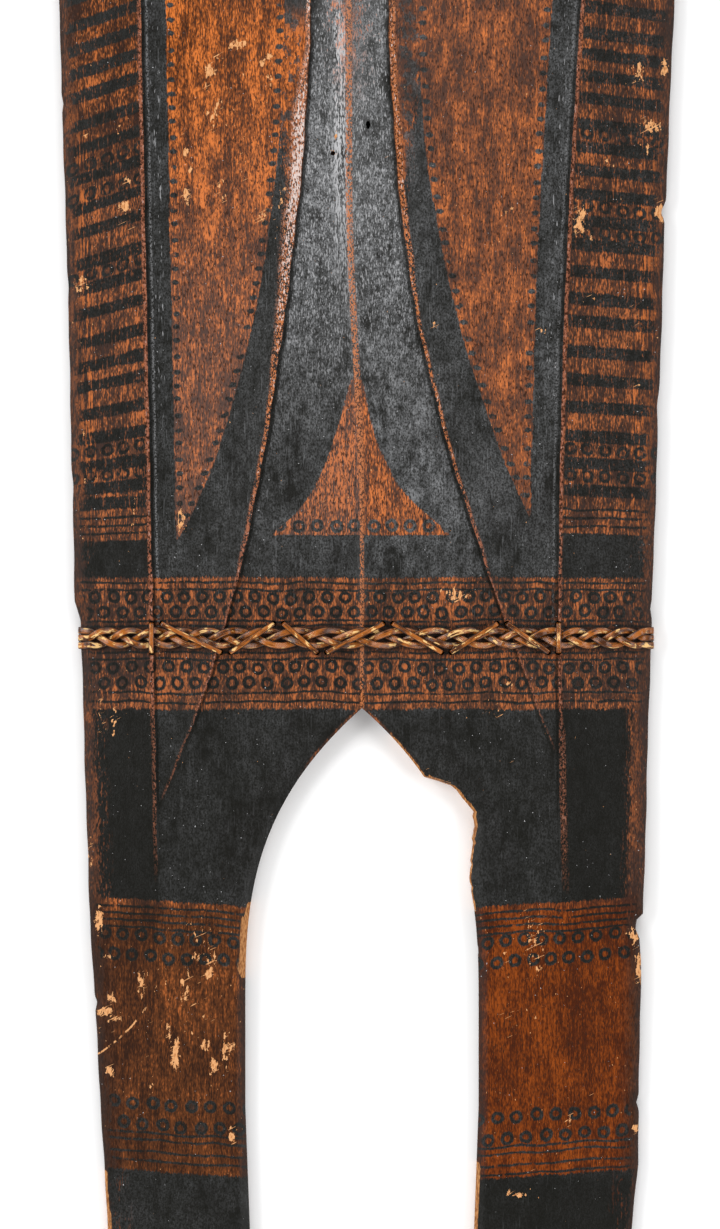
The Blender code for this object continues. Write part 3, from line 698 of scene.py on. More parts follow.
def set_in(v, start):
    """0 before a start (distance, run), 1 past it."""
    return ease((v - start[0]) / start[1])


def store_guides(mesh, guides):
    """Keeps the guides on the mesh's points."""
    for name, values in guides.items():
        guide = mesh.attributes.new(name, "FLOAT", "POINT")
        guide.data.foreach_set("value", np.ascontiguousarray(values, np.float32))


def store_split(mesh, values):
    """Keeps fresh wood on the faces' corners, so that it ends sharply at the plank's back."""
    points = np.empty(len(mesh.loops), np.int32)
    mesh.loops.foreach_get("vertex_index", points)
    normals = np.empty(len(mesh.polygons) * 3, np.float32)
    mesh.polygons.foreach_get("normal", normals)
    corners = np.empty(len(mesh.polygons), np.int32)
    mesh.polygons.foreach_get("loop_total", corners)
    on_back = np.repeat(normals[2::3] < BACK_NORMAL, corners)
    guide = mesh.attributes.new("fresh", "FLOAT", "CORNER")
    guide.data.foreach_set("value", np.where(on_back, 0.0, values[points]).astype(np.float32))


def build_plank(finish):
    """The carved plank with its guides, in its finish."""
    bm = bmesh.new()
    plank_form(bm)
    surface = BVHTree.FromBMesh(bm)
    mesh = cut_plank_mesh(bm, surface)
    bm.free()
    points = np.empty(len(mesh.vertices) * 3)
    mesh.vertices.foreach_get("co", points)
    guides = paint_guides(points.reshape(-1, 3), surface)
    store_split(mesh, guides.pop("fresh"))
    store_guides(mesh, guides)
    smooth_shading(mesh, PLANK_SHARP)
    return add_piece("carved_plank", mesh, finish, "painted_wood", "plank")


# The cane


def cane_bed(surface, x, y):
    """The height that a cane rests on here, which bridges the small steps of the carving."""
    return max(
        surface_z(surface, x + dx, y + dy)
        for dx in (-BED_X, 0.0, BED_X)
        for dy in (-BED_Y, 0.0, BED_Y)
    )


def spline(path, samples):
    """The path of (point, outward direction), rounded and with more points."""
    points = [(Vector(point), Vector(outward)) for point, outward in path]
    rounded = []
    for i in range(len(points) - 1):
        around = [points[min(max(i + k, 0), len(points) - 1)] for k in (-1, 0, 1, 2)]
        for step in range(samples):
            rounded.append(blend_four(around, step / samples))
    rounded.append(points[-1])
    return rounded


def blend_four(around, t):
    """A place between the middle two of four (point, direction) pairs, on a uniform cubic curve."""
    weights = (
        -0.5 * t + t**2 - 0.5 * t**3,
        1 - 2.5 * t**2 + 1.5 * t**3,
        0.5 * t + 2 * t**2 - 1.5 * t**3,
        -0.5 * t**2 + 0.5 * t**3,
    )
    point = sum((w * pair[0] for w, pair in zip(weights, around)), Vector())
    outward = around[1][1].lerp(around[2][1], t).normalized()
    return point, outward


def cane_frames(path):
    """(point, across, lift, run so far) for each point of a path."""
    frames = []
    run = 0.0
    for i, (point, outward) in enumerate(path):
        before = path[max(i - 1, 0)][0]
        after = path[min(i + 1, len(path) - 1)][0]
        forward = (after - before).normalized()
        across = outward.cross(forward).normalized()
        if frames and across.dot(frames[-1][1]) < 0:
            across = -across
        lift = forward.cross(across).normalized()
        run += (point - path[max(i - 1, 0)][0]).length
        frames.append((point, across, lift, run))
    return frames


def cane_mesh(name, path, width, thick, seed):
    """A flat cane with rounded edges along a path, and its guides: along it and round it."""
    frames = cane_frames(path)
    columns = []
    for corner in range(CANE_CORNERS + 1):
        turn = 2 * math.pi * corner / CANE_CORNERS
        wide = math.copysign(abs(math.cos(turn)) ** CANE_SQUARENESS[0], math.cos(turn)) / 2
        high = math.copysign(abs(math.sin(turn)) ** CANE_SQUARENESS[1], math.sin(turn)) / 2
        column = []
        for point, across, lift, run in frames:
            swell = 1 + CANE_SWELL * noise.noise(Vector((run / CANE_SWELL_RUN, seed, 0.0)))
            column.append(point + across * (wide * width * swell) + lift * (high * thick))
        columns.append(column)
    bm = bmesh.new()
    place_grid(bm, columns)
    bmesh.ops.remove_doubles(bm, verts=bm.verts[:], dist=WELD)
    bmesh.ops.holes_fill(bm, edges=[e for e in bm.edges if e.is_boundary], sides=CANE_CORNERS)
    bmesh.ops.recalc_face_normals(bm, faces=bm.faces[:])
    mesh = bpy.data.meshes.new(name)
    bm.to_mesh(mesh)
    bm.free()
    store_guides(mesh, cane_guides(mesh, frames, width, seed))
    smooth_shading(mesh, CANE_SHARP)
    return mesh


def cane_guides(mesh, frames, width, seed):
    """Millimetres along the cane, and -1 to 1 across it, at each point."""
    tree = kdtree.KDTree(len(frames))
    for i, (point, _, _, _) in enumerate(frames):
        tree.insert(point, i)
    tree.balance()
    along_cane, across_cane = [], []
    for vert in mesh.vertices:
        point, across, _, run = frames[tree.find(vert.co)[1]]
        along_cane.append(run / MM + CANES_APART * seed)
        across_cane.append((vert.co - point).dot(across) / width * 2)
    return {"run": np.array(along_cane), "across": np.array(across_cane)}


def plait_front(surface, lashing, phase):
    """A strand's way across the front: it swings from side to side, over one strand and under the next."""
    y0 = lashing["y"]
    steps = lashing["half_turns"] * STEPS_PER_HALF_TURN
    start, end = edge_x(LEFT, y0) + PLAIT_END, edge_x(RIGHT, y0) - PLAIT_END
    path = []
    for i in range(steps + 1):
        share = i / steps
        tightened = share + TIGHTER_ENDS * math.sin(2 * math.pi * share) / (2 * math.pi)
        turn = math.pi * lashing["half_turns"] * tightened + phase
        x = start + (end - start) * share
        lift = STRAND_LIFT * (1 + math.sin(2 * turn))
        z = cane_bed(surface, x, y0) + CLEAR + STRAND_THICK / 2 + lift
        path.append((Vector((x, y0 + STRAND_SWING * math.sin(turn), z)), UP))
    return path


def round_corner(corner, first, second, bend):
    """Three points that round a corner: the cane faces the first direction before it, then the second."""
    return [
        (corner - second * bend, first),
        (corner - (first + second) * bend * BEND_SHARE, (first + second).normalized()),
        (corner - first * bend, second),
    ]


def plait_end(surface, lashing, side, front_end):
    """A strand's way from the end of its front round the plank's edge, and behind to the middle."""
    y0 = lashing["y"]
    order = round((front_end.y - y0) / STRAND_SWING / math.sin(math.pi / 3))
    lane = y0 + STRAND_LANE * order
    edge = edge_x(side, y0)
    bed = CLEAR + STRAND_THICK / 2
    top_z = surface_z(surface, edge - side * EDGE_ROUND, y0) + bed
    back_z = CHANNEL_DEPTH - bed
    outer = edge + side * bed
    outward = Vector((side, 0, 0))
    path = round_corner(Vector((outer, lane, top_z)), UP, outward, TOP_BEND)
    path += round_corner(Vector((outer, lane, back_z)), outward, DOWN, BACK_BEND)
    path += [(Vector((edge - side * inward, lane, back_z)), DOWN) for inward in BACK_PLACES]
    path.append((Vector((side * BACK_END, lane, back_z)), DOWN))
    return path


def strand_path(surface, lashing, phase):
    """One strand of a plait: over the front, round both edges, and side by side behind."""
    front = plait_front(surface, lashing, phase)
    before = plait_end(surface, lashing, LEFT, front[0][0])
    return before[::-1] + front + plait_end(surface, lashing, RIGHT, front[-1][0])


def crossing(a, b, height, outward, samples):
    """The sewing cane from hole a to hole b on one side of the plank, with softened corners."""
    run = (b - a).normalized()
    sunk = -outward.z * 2 * SEWING_BEND
    path = [(a + Vector((0, 0, height(a) + sunk)), -run)]
    for i in range(samples + 1):
        starts, ends = i == 0, i == samples
        at = a.lerp(b, i / samples) + run * SEWING_BEND * (starts - ends)
        path.append((at + Vector((0, 0, height(at))), (outward + run * (ends - starts)).normalized()))
    path.append((b + Vector((0, 0, height(b) + sunk)), run))
    return path


def sewing_path(surface, lashing):
    """The cane that holds a plait down: a tie, a zigzag of stitches and a tie."""
    y0 = lashing["y"]
    over = 2 * STRAND_LIFT + STRAND_THICK + SEWING_THICK / 2 + SEWING_ROOM
    under = CHANNEL_DEPTH - CLEAR - SEWING_THICK / 2
    under_strands = under - STRAND_THICK - CLEAR
    holes = [Vector((x, y0 + offset, 0)) for x, offset in stitch_holes(lashing)]
    tail = Vector((0, 0, CHANNEL_DEPTH + TAIL))

    path = []
    for i, (a, b) in enumerate(zip(holes, holes[1:])):
        if i % 2 == 0:
            path += crossing(a, b, lambda at: cane_bed(surface, at.x, y0) + over, UP, STITCH_SAMPLES)
        else:
            level = under_strands if abs(b.y - a.y) > STITCH_OFFSET else under
            path += crossing(a, b, lambda at: level, DOWN, 1)
    path.insert(0, (holes[0] + tail, path[0][1]))
    path.append((holes[-1] + tail, path[-1][1]))
    return path


def plank_surface():
    """The plank before its holes, as the surface that the canes rest on."""
    bm = bmesh.new()
    plank_form(bm)
    surface = BVHTree.FromBMesh(bm)
    bm.free()
    return surface


def build_lashing(name, lashing, surface, finish, first_seed):
    """The three strands of a plait, and the cane that sews it down."""
    for number, phase in enumerate(PHASES):
        node = f"{name}_plait_strand_{number + 1}"
        path = spline(strand_path(surface, lashing, phase), STRAND_SAMPLES)
        mesh = cane_mesh(node, path, STRAND_WIDTH * FULLER_STRAND, STRAND_THICK, first_seed + number)
        add_piece(f"{name}_strand_{number + 1}", mesh, finish, "cane", node)
    node = f"{name}_sewing_cane"
    path = spline(sewing_path(surface, lashing), SEWING_SAMPLES)
    mesh = cane_mesh(node, path, SEWING_WIDTH, SEWING_THICK, first_seed + len(PHASES))
    add_piece(f"{name}_sewing", mesh, finish, "cane", node)


# Materials


class Wire:
    """A socket in a finish. Python's operators on it add the Math nodes that work them out."""

    def __init__(self, finish, socket):
        self.finish = finish
        self.socket = socket

    def math(self, operation, first, second=0.0):
        return self.finish.node("ShaderNodeMath", {"operation": operation}, {0: first, 1: second})

    def __add__(self, other):
        return self.math("ADD", self, other)

    def __radd__(self, other):
        return self.math("ADD", other, self)

    def __sub__(self, other):
        return self.math("SUBTRACT", self, other)

    def __rsub__(self, other):
        return self.math("SUBTRACT", other, self)

    def __mul__(self, other):
        return self.math("MULTIPLY", self, other)

    def __rmul__(self, other):
        return self.math("MULTIPLY", other, self)

    def __truediv__(self, other):
        return self.math("DIVIDE", self, other)

    def __pow__(self, power):
        return self.math("POWER", self, power)

    def __abs__(self):
        return self.math("ABSOLUTE", self)

    def least(self, other):
        return self.math("MINIMUM", self, other)

    def most(self, other):
        return self.math("MAXIMUM", self, other)

    def floor(self):
        return self.math("FLOOR", self)

    def root(self):
        return self.math("SQRT", self)

    def swing(self, amount):
        """A texture's swing either side of zero."""
        return (self - 0.5) * amount

    def over(self, limit):
        """1 where the value is over the limit, 0 elsewhere."""
        return self.math("GREATER_THAN", self, limit)

    def smooth(self, low, high):
        """0 at low, 1 at high, and smooth between; low may be the larger of the two."""
        return self.finish.node(
            "ShaderNodeMapRange",
            {"interpolation_type": "SMOOTHSTEP"},
            {"Value": self, "From Min": low, "From Max": high},
        )

    def past(self, line):
        """1 past a painted edge, 0 before it."""
        return self.smooth(line - PAINT_EDGE, line + PAINT_EDGE)

    def short_of(self, line):
        """1 before a painted edge, 0 past it."""
        return self.smooth(line + PAINT_EDGE, line - PAINT_EDGE)

    def near(self, middle, half, soft):
        """1 within half of the middle, 0 beyond half + soft."""
        return abs(self - middle).smooth(half + soft, half)


# How far each seed moves a texture, in grains
SEED_STEPS = (7.31, 3.17, 5.77)


class Finish:
    """A procedural material, built node by node around a Principled shader."""

    def __init__(self, name):
        self.material = bpy.data.materials.new(name)
        self.material.use_nodes = True
        self.tree = self.material.node_tree
        self.shader = self.tree.nodes["Principled BSDF"]
        place = self.node("ShaderNodeTexCoord", output="Object")
        self.place = self.vector("SCALE", place, scale=1 / MM)

    def node(self, kind, settings=None, inputs=None, output=0):
        """A new node: its settings first, then the values or links of its sockets."""
        made = self.tree.nodes.new(kind)
        for name, value in (settings or {}).items():
            setattr(made, name, value)
        for name, value in (inputs or {}).items():
            self.connect(value, made.inputs[name])
        return Wire(self, made.outputs[output])

    def connect(self, value, socket):
        if isinstance(value, Wire):
            self.tree.links.new(value.socket, socket)
        else:
            socket.default_value = value

    def vector(self, operation, first, second=(0, 0, 0), third=(0, 0, 0), scale=1.0):
        inputs = {0: first, 1: second, 2: third, 3: scale}
        return self.node("ShaderNodeVectorMath", {"operation": operation}, inputs)

    def guide(self, name):
        """A value that the piece's points carry."""
        settings = {"attribute_type": "GEOMETRY", "attribute_name": name}
        return self.node("ShaderNodeAttribute", settings, output="Fac")

    def parts(self, vector):
        """The x, y and z of a vector."""
        split = self.node("ShaderNodeSeparateXYZ", inputs={0: vector})
        outputs = split.socket.node.outputs
        return [Wire(self, outputs[i]) for i in range(3)]

    def join(self, x, y, z):
        """A vector of three values."""
        return self.node("ShaderNodeCombineXYZ", inputs={0: x, 1: y, 2: z})

    def mix(self, factor, first, second):
        """From the first colour to the second as the factor goes from 0 to 1."""
        settings = {"data_type": "RGBA"}
        return self.node("ShaderNodeMix", settings, {0: factor, 6: first, 7: second}, output=2)

    def noise(self, size, seed, detail=2.0, rough=0.5, place=None):
        """Noise from 0 to 1 around 0.5, with grains of the given size in millimetres."""
        scale = tuple(1 / side for side in size)
        offset = tuple(seed * step for step in SEED_STEPS)
        where = self.vector("MULTIPLY_ADD", place or self.place, scale, offset)
        inputs = {"Vector": where, "Scale": 1.0, "Detail": detail, "Roughness": rough}
        return self.node("ShaderNodeTexNoise", inputs=inputs)

    def chance(self, cell):
        """A random value from 0 to 1 for each whole number."""
        return self.node("ShaderNodeTexWhiteNoise", {"noise_dimensions": "1D"}, {"W": cell})

    def finish(self, colour, roughness, height, lift, **constants):
        """Connects what varies to the shader, and sets its constants."""
        bump = self.node("ShaderNodeBump", inputs={"Height": height, "Distance": lift})
        self.connect(colour, self.shader.inputs["Base Color"])
        self.connect(roughness, self.shader.inputs["Roughness"])
        self.connect(bump, self.shader.inputs["Normal"])
        for name, value in constants.items():
            self.shader.inputs[name.replace("_", " ")].default_value = value
        return self.material


def mixed(first, second, factor):
    """A value from the first to the second as the factor goes from 0 to 1."""
    return first + (second - first) * factor


# Where ruled lines and rows of rings lie, as distances from the boss in millimetres
BAND_LINES = (321.5, 325.0, 340.5, 343.0, 356.0, 359.5, 376.5, 381.0)
LEG_LINES = (484.5, 488.0, 491.5, 495.0, 597.5, 601.0, 607.0, 611.5)
STRIP_LINES = (289.0, 293.0, 297.0)
# Pairs of ring rows, as (first row, row step, pitch, shift), and single rows on the strips
RING_PAIRS = (
    (328.6, 7.4, 8.9, 2.0), (363.6, 7.9, 9.1, 5.0), (499.0, 10.0, 9.1, 1.0), (582.8, 10.4, 9.6, 3.0),
)
LEFT_STRIP_RINGS = (110.5, 126.0, 165.5, 255.5, 268.0)
RIGHT_STRIP_RINGS = (135.0, 147.5, 98.5, 255.5, 268.5)
# Pitch, shift and seed of the rings on the strips, and of the row at the spire's foot
STRIP_RINGS, SPIRE_RINGS, SPIRE_ROW = (8.6, 3.0, 57.3), (9.3, -1.5, 91.0), 293.0
RING_RADIUS, RING_STROKE, RING_JITTER, BLOTTED_RINGS = 2.4, 0.92, 1.0, 0.016
LINE_HALF, BAR_HALF, EVEN_BARS = 0.62, 3.05, 12.6
PAINT_EDGE, LINE_SOFT, RING_SOFT = 0.4, 0.3, 0.35
# The dots beside the panels: their pitch on the left and on the right, distance from the edge and size
DOT_PITCHES, DOT_INWARD, DOT_LENGTH, DOT_WIDTH = (7.3, 7.8), 2.2, 1.9, 1.3
BLACK_BAND, LEG_BLACK = (300.5, 319.0), (384.5, 481.0)
# Where the black tips start, on the left and on the right
TIP_BLACK = (616.5, 613.0)
# Where the strips' bars and rings end, and between where the bars wear through
BARS_END, RINGS_END, ERODED_BARS = 286.0, (283, 281), (290, 285)
# Where the crests' wear ends, on the left and on the right
CREST_WEAR_GONE, CREST_WEAR_FULL = (432, 408), (425, 400)
# How far from the rim the black of the legs is worn away, on the left and on the right
RIM_WEAR = (5.0, 8.0)
# Stretches along the plank, as the distances from the boss where each is 0 and where it is 1
STRETCHES = {
    # Parts of the pattern
    "bands": (317, 320),
    "legs": (470, 490),
    "alike prongs": (320, 330),
    "level field": (310, 300),
    "dotted panels": (292, 290),
    "lower left": (120, 230),
    # Wear, and the painted highlight on the left crest's flank
    "broad wear start": (52, 92),
    "broad wear end": (250, 130),
    "fuller right wear": (190, 150),
    "thinner crest wear": (300, 330),
    "broader right lip": (385, 400),
    "worn lips": (478, 440),
    "thinner ridge wear": (220, 300),
    "worn ridge": (386, 383),
    "beside the boss": (95, 40),
    "left shoulder": (30, 55),
    "polished flank": (250, 110),
    "shining flank": (62, 100),
    "full rubbing": (405, 380),
    "arch line": (420, 400),
    "dull rubbing": (230, 310),
    # Wood
    "lower shade": (60, 150),
    "darker panel ends": (200, 270),
    "darker strips": (160, 60),
    "amber strips start": (60, 130),
    "amber strips end": (300, 270),
    "dusty film": (40, 170),
    # Black paint with its painted sheen, and painted shadows in the grooves and beside the crests' steps
    "grey field": (250, 120),
    "dusty field": (335, 265),
    "upper field": (270, 140),
    "deep black": (375, 390),
    "banded black": (384, 381),
    "patterned strips": (560, 470),
    "black right tip": (612, 622),
    "scuffed black": (400, 300),
    "grooves": (472, 455),
    "wide steps": (330, 250),
    "steps start": (20, 60),
    "steps end": (430, 405),
    "groove sheen": (400, 330),
    "glints": (260, 200),
    "ridge sheen start": (10, 50),
    "ridge sheen end": (215, 90),
}

# What each point carries: how far it lies along the plank (reach, drawn, barred), how far from the bars,
# grooves, crests, ridge, rim, arch, panels and spire, and how chipped, split and far under the front
GUIDES = "reach drawn barred bar strip crest ridge rim arch panel spire chips fresh under"


class ShieldPaint:
    """The masks of the painted pattern, from 0 to 1, worked out from the plank's guides."""

    def __init__(self, finish):
        self.finish = finish
        for name in GUIDES.split():
            setattr(self, name, finish.guide(name))
        self.x, self.y = finish.parts(finish.place)[:2]
        self.upper = self.y.over(BOSS_Y / MM)
        # The sides differ below, but the prongs are alike, also either side of the middle one's centre
        prongs = self.upper * self.within("alike prongs")
        self.right = mixed(self.ridge.over(0.0), 0.5, prongs)
        self.on_strip = self.strip.over(0.0)
        # Above the boss the pattern is squeezed along the plank, and rings would turn oval
        self.squeeze = mixed(1.0, PRONG_REACH / LEG_REACH, self.upper)
        # The slow sway of drawn lines, the ragged edge of paint, and the patches where it fades
        self.sway = finish.noise((24, 30, 30), 1, detail=3.0, rough=0.6).swing(5)
        self.ragged = finish.noise((0.8, 2.4, 2), 2, detail=2.0).swing(3)
        self.fade = finish.noise((5, 7, 6), 3, detail=3.0, rough=0.6)
        # 1 on the carved front, 0 on the edges and the back
        self.front = self.under.smooth(2.6, 1.2)

    def within(self, stretch):
        """From 0 to 1 as a place comes into a named stretch along the plank."""
        return self.reach.smooth(*STRETCHES[stretch])

    def uneven_rim(self, patchy, grainy):
        """The distance from the rim, made uneven in patches and in grains."""
        return self.rim + self.fade.swing(patchy) + self.ragged * grainy

    def side_value(self, left, right):
        """The left value left of the ridge, and the right one right of it."""
        return left + (right - left) * self.right

    def lines(self, v, places):
        """Ruled lines at the given places."""
        nearest = abs(v - places[0])
        for place in places[1:]:
            nearest = nearest.least(abs(v - place))
        return (nearest + self.ragged * 0.4).smooth(LINE_HALF + LINE_SOFT, LINE_HALF - LINE_SOFT)

    def rings(self, row_away, pitch, shift, seed):
        """A row of stamped rings along x, given the distance to the row."""
        placed = (self.x - shift) / pitch
        cell = placed.floor()
        jitter = self.finish.chance(cell + seed)
        across = (placed - cell - 0.5) * pitch + jitter.swing(RING_JITTER)
        along_row = row_away * self.squeeze + self.finish.chance(cell + (seed + 0.5)).swing(RING_JITTER)
        away = (across * across + along_row * along_row).root() + self.ragged * 0.45
        ring = abs(away - RING_RADIUS).smooth(RING_STROKE + RING_SOFT, RING_STROKE - RING_SOFT)
        blotted = jitter.smooth(BLOTTED_RINGS, BLOTTED_RINGS - 0.02)
        return ring.most(blotted * away.smooth(RING_RADIUS, RING_RADIUS - 0.5))

    def ring_rows(self):
        """The double rows of rings on the bands and the legs."""
        v = self.drawn + self.sway
        found = None
        for number, (first, step, pitch, shift) in enumerate(RING_PAIRS):
            second = v.over(first + step / 2)
            row = self.rings(v - first - step * second, pitch, shift + pitch / 2 * second, 10 * number)
            found = row if found is None else found.most(row)
        return found * (self.rim + self.fade * 6).smooth(6.5, 8.0)

    def strip_rings(self):
        """The rows of rings between the bars of the border strips."""
        v = self.barred + self.sway
        nearest = v - self.side_value(LEFT_STRIP_RINGS[0], RIGHT_STRIP_RINGS[0])
        for left, right in zip(LEFT_STRIP_RINGS[1:], RIGHT_STRIP_RINGS[1:]):
            other = v - self.side_value(left, right)
            nearest = mixed(nearest, other, (abs(nearest) - abs(other)).over(0.0))
        rings = self.rings(nearest, *STRIP_RINGS)
        return rings * self.strip.over(2.0) * self.barred.smooth(*RINGS_END)

    def spire_rings(self):
        """The row of rings along the spire's foot."""
        return self.rings(self.reach - SPIRE_ROW, *SPIRE_RINGS) * self.spire.smooth(-1.0, 0.0)

    def bars(self):
        """Bars across the border strips, evenly spaced above the boss, worn away towards the rim."""
        placed = self.barred / EVEN_BARS
        evenly = abs(placed - placed.floor() - 0.5) * EVEN_BARS
        edge = mixed(self.bar, evenly, self.upper) + self.sway * 0.45 + self.ragged * 0.9
        bar = edge.short_of(BAR_HALF)
        bar = bar * self.strip.smooth(self.side_value(0.9, 1.5), self.side_value(1.8, 2.4))
        worn = self.uneven_rim(12, 2.6).smooth(2.2, 5.5)
        return bar * worn * self.barred.smooth(BARS_END + 0.5, BARS_END - 0.5)

    def ruled(self):
        """The ruled lines of the bands, the legs and the strips, with their gaps."""
        v = self.drawn + self.sway
        strips = self.lines(self.barred + self.sway, STRIP_LINES) * self.strip.over(1.8)
        ruled = self.lines(v, BAND_LINES + LEG_LINES).most(strips)
        broken = (self.fade + self.ragged * 0.15).smooth(0.30, 0.42)
        return ruled * broken * (self.rim + self.fade * 5).smooth(5.0, 7.0)

    def dots(self):
        """A row of dots just inside the brown panels' outlines."""
        pitch = self.side_value(*DOT_PITCHES)
        cell = (self.reach / pitch).floor()
        jitter = self.finish.chance(cell + self.crest.over(22.0) * 31.0)
        along_edge = (self.reach / pitch - cell - 0.5) * pitch + jitter.swing(1.6)
        inward = self.panel - DOT_INWARD
        away = ((along_edge / DOT_WIDTH) ** 2 + (inward / DOT_LENGTH) ** 2).root()
        return (away + self.ragged * 0.3).smooth(1.2, 0.8) * (self.fade + jitter * 0.3).smooth(0.34, 0.50)

    def fields(self):
        """The black grounds: the field round the panels and the spire, and the plain bands."""
        outline = self.ragged * 0.6 + self.sway * 0.4
        field = (self.panel + outline).smooth(0.3, -0.3) * (self.spire + outline).smooth(0.3, -0.3)
        field = field * self.strip.smooth(0.2, -0.2)
        v = self.drawn + self.sway * 0.6 + self.ragged * 1.3
        field = field * mixed(v, self.reach, self.within("level field")).short_of(BLACK_BAND[1])
        edge_v = mixed(v, self.barred + self.sway * 0.6 + self.ragged * 0.6, self.on_strip)
        band = edge_v.past(BLACK_BAND[0]) * v.short_of(BLACK_BAND[1])
        band = band * self.uneven_rim(8, 2.4).smooth(2.5, 5.5)
        legs = v.past(LEG_BLACK[0]) * v.short_of(LEG_BLACK[1])
        wear = self.side_value(*RIM_WEAR)
        legs = legs * self.uneven_rim(7, 2.6).smooth(wear * 0.85, wear * 1.25)
        tips = (v - self.side_value(*TIP_BLACK)).past(0.0) * (self.rim + self.ragged * 1.5).smooth(1.0, 2.5)
        return field.most(band).most(legs).most(tips)


class ShieldWear:
    """Where rubbing has taken the paint back to wood, from 0 to 1, and where a highlight is painted on the
    rubbed wood.
    """

    def __init__(self, mask, wrinkle, fibres):
        self.mask = mask
        self.wrinkle = wrinkle
        self.fibres = fibres
        self.crumble = wrinkle.swing(7)

    def crests(self):
        """A broad polished flank beside the left crest, and a narrow line along the right one."""
        mask = self.mask
        broad = mask.within("broad wear end") * mask.within("broad wear start") * (1 - mask.right)
        narrow = mask.side_value(2.0, 1.6 + mask.within("fuller right wear") * 1.2)
        width = mixed(narrow, 6.5, broad) - mask.within("thinner crest wear") * 1.0
        soft = mixed(0.5, 2.2, broad)
        worn = (mask.crest + self.crumble * mixed(0.35, 1.1, broad)).smooth(width + soft, width - soft)
        worn = worn * (mask.crest + self.crumble * 0.15).smooth(-0.5, 0.1)
        return worn * mask.reach.smooth(mask.side_value(*CREST_WEAR_GONE), mask.side_value(*CREST_WEAR_FULL))

    def groove_lips(self):
        """The edge of each border strip above the groove."""
        mask = self.mask
        width = mask.side_value(1.9, 1.6) + mask.within("broader right lip") * mask.right * 1.8
        worn = (mask.strip + self.crumble * 0.35).smooth(width + 0.5, width - 0.5)
        worn = worn * mask.strip.smooth(-0.3, 0.2)
        return worn * (mask.reach + mask.fade.swing(60)).smooth(*STRETCHES["worn lips"])

    def ridge(self):
        """The rubbed line along the centre ridge."""
        mask = self.mask
        half = mixed(1.7, 1.1, mask.within("thinner ridge wear"))
        worn = (abs(mask.ridge) + self.crumble * 0.20).smooth(half + 0.4, half - 0.4)
        return worn * mask.within("worn ridge")

    def shoulders(self):
        """Brown wood showing through the black beside the boss and outside the crests' upper ends."""
        mask = self.mask
        streaked = self.fibres + mask.fade.swing(0.8)
        near_boss = (streaked - abs(mask.ridge) * 0.022).smooth(0.40, 0.52)
        near_boss = near_boss * mask.within("beside the boss") * mask.crest.smooth(0.0, -2.0) * 0.75
        slanted = mask.reach + mask.crest * 4.5 - streaked.swing(70)
        left = mask.within("left shoulder") * (1 - mask.right)
        outside = slanted.smooth(mask.side_value(156, 139), mask.side_value(144, 129)) * left.most(mask.right)
        kept = (mask.fade + self.fibres.swing(0.25)).smooth(0.50, 0.56) * mask.crest.smooth(3.0, 5.0)
        return near_boss.most(outside * mask.crest.near(10.5, 10.5, 1.0) * (1 - kept * 0.9))

    def flank(self):
        """The left crest's polished flank, where the coat is glossier and the painted highlight strongest."""
        mask = self.mask
        return mask.within("polished flank") * (1 - mask.right) * mask.crest.smooth(9.0, 2.0)

    def painted_highlight(self):
        """Where a highlight is painted on the rubbed wood, as white fibres."""
        share = self.flank() * mixed(0.02, 0.13, self.mask.within("shining flank"))
        return (self.wrinkle * 0.35 + self.fibres * 0.65 + share).smooth(0.58, 0.66)


def long_scratch(mask):
    """The one long scratch, across the left leg."""
    x, y = mask.x - LONG_SCRATCH[0], mask.y - LONG_SCRATCH[1]
    turn = math.radians(LONG_SCRATCH[2])
    away = x * math.sin(turn) - y * math.cos(turn) + mask.ragged * 0.25
    run = x * math.cos(turn) + y * math.sin(turn)
    broken = (mask.fade + mask.ragged * 0.16).smooth(0.46, 0.56)
    return abs(away + run * run * 0.006).smooth(0.55, 0.25) * run.near(0.0, LONG_SCRATCH[3], 3.0) * broken


# Textures of the wood and its paint, as (size of the grains in millimetres, seed, detail, roughness)
TEXTURES = {
    "fibres": ((0.60, 2.4, 2.0), 4, 1.5, 0.55),
    "strands": ((1.1, 15.0, 6.0), 5, 2.0, 0.6),
    "mottle": ((16, 42, 30), 6, 3.0, 0.55),
    "patches": ((6, 11, 10), 7, 3.0, 0.6),
    "fine": ((0.70, 1.0, 1.0), 8, 1.0, 0.65),
    "wrinkle": ((1.0, 1.7, 1.2), 13, 2.0, 0.7),
}
LASHING_REACH, BAND_EDGE = 349.0, 4.5
COAT_ROUGHNESS, IOR, SPECULAR = 0.34, 1.5, 0.12


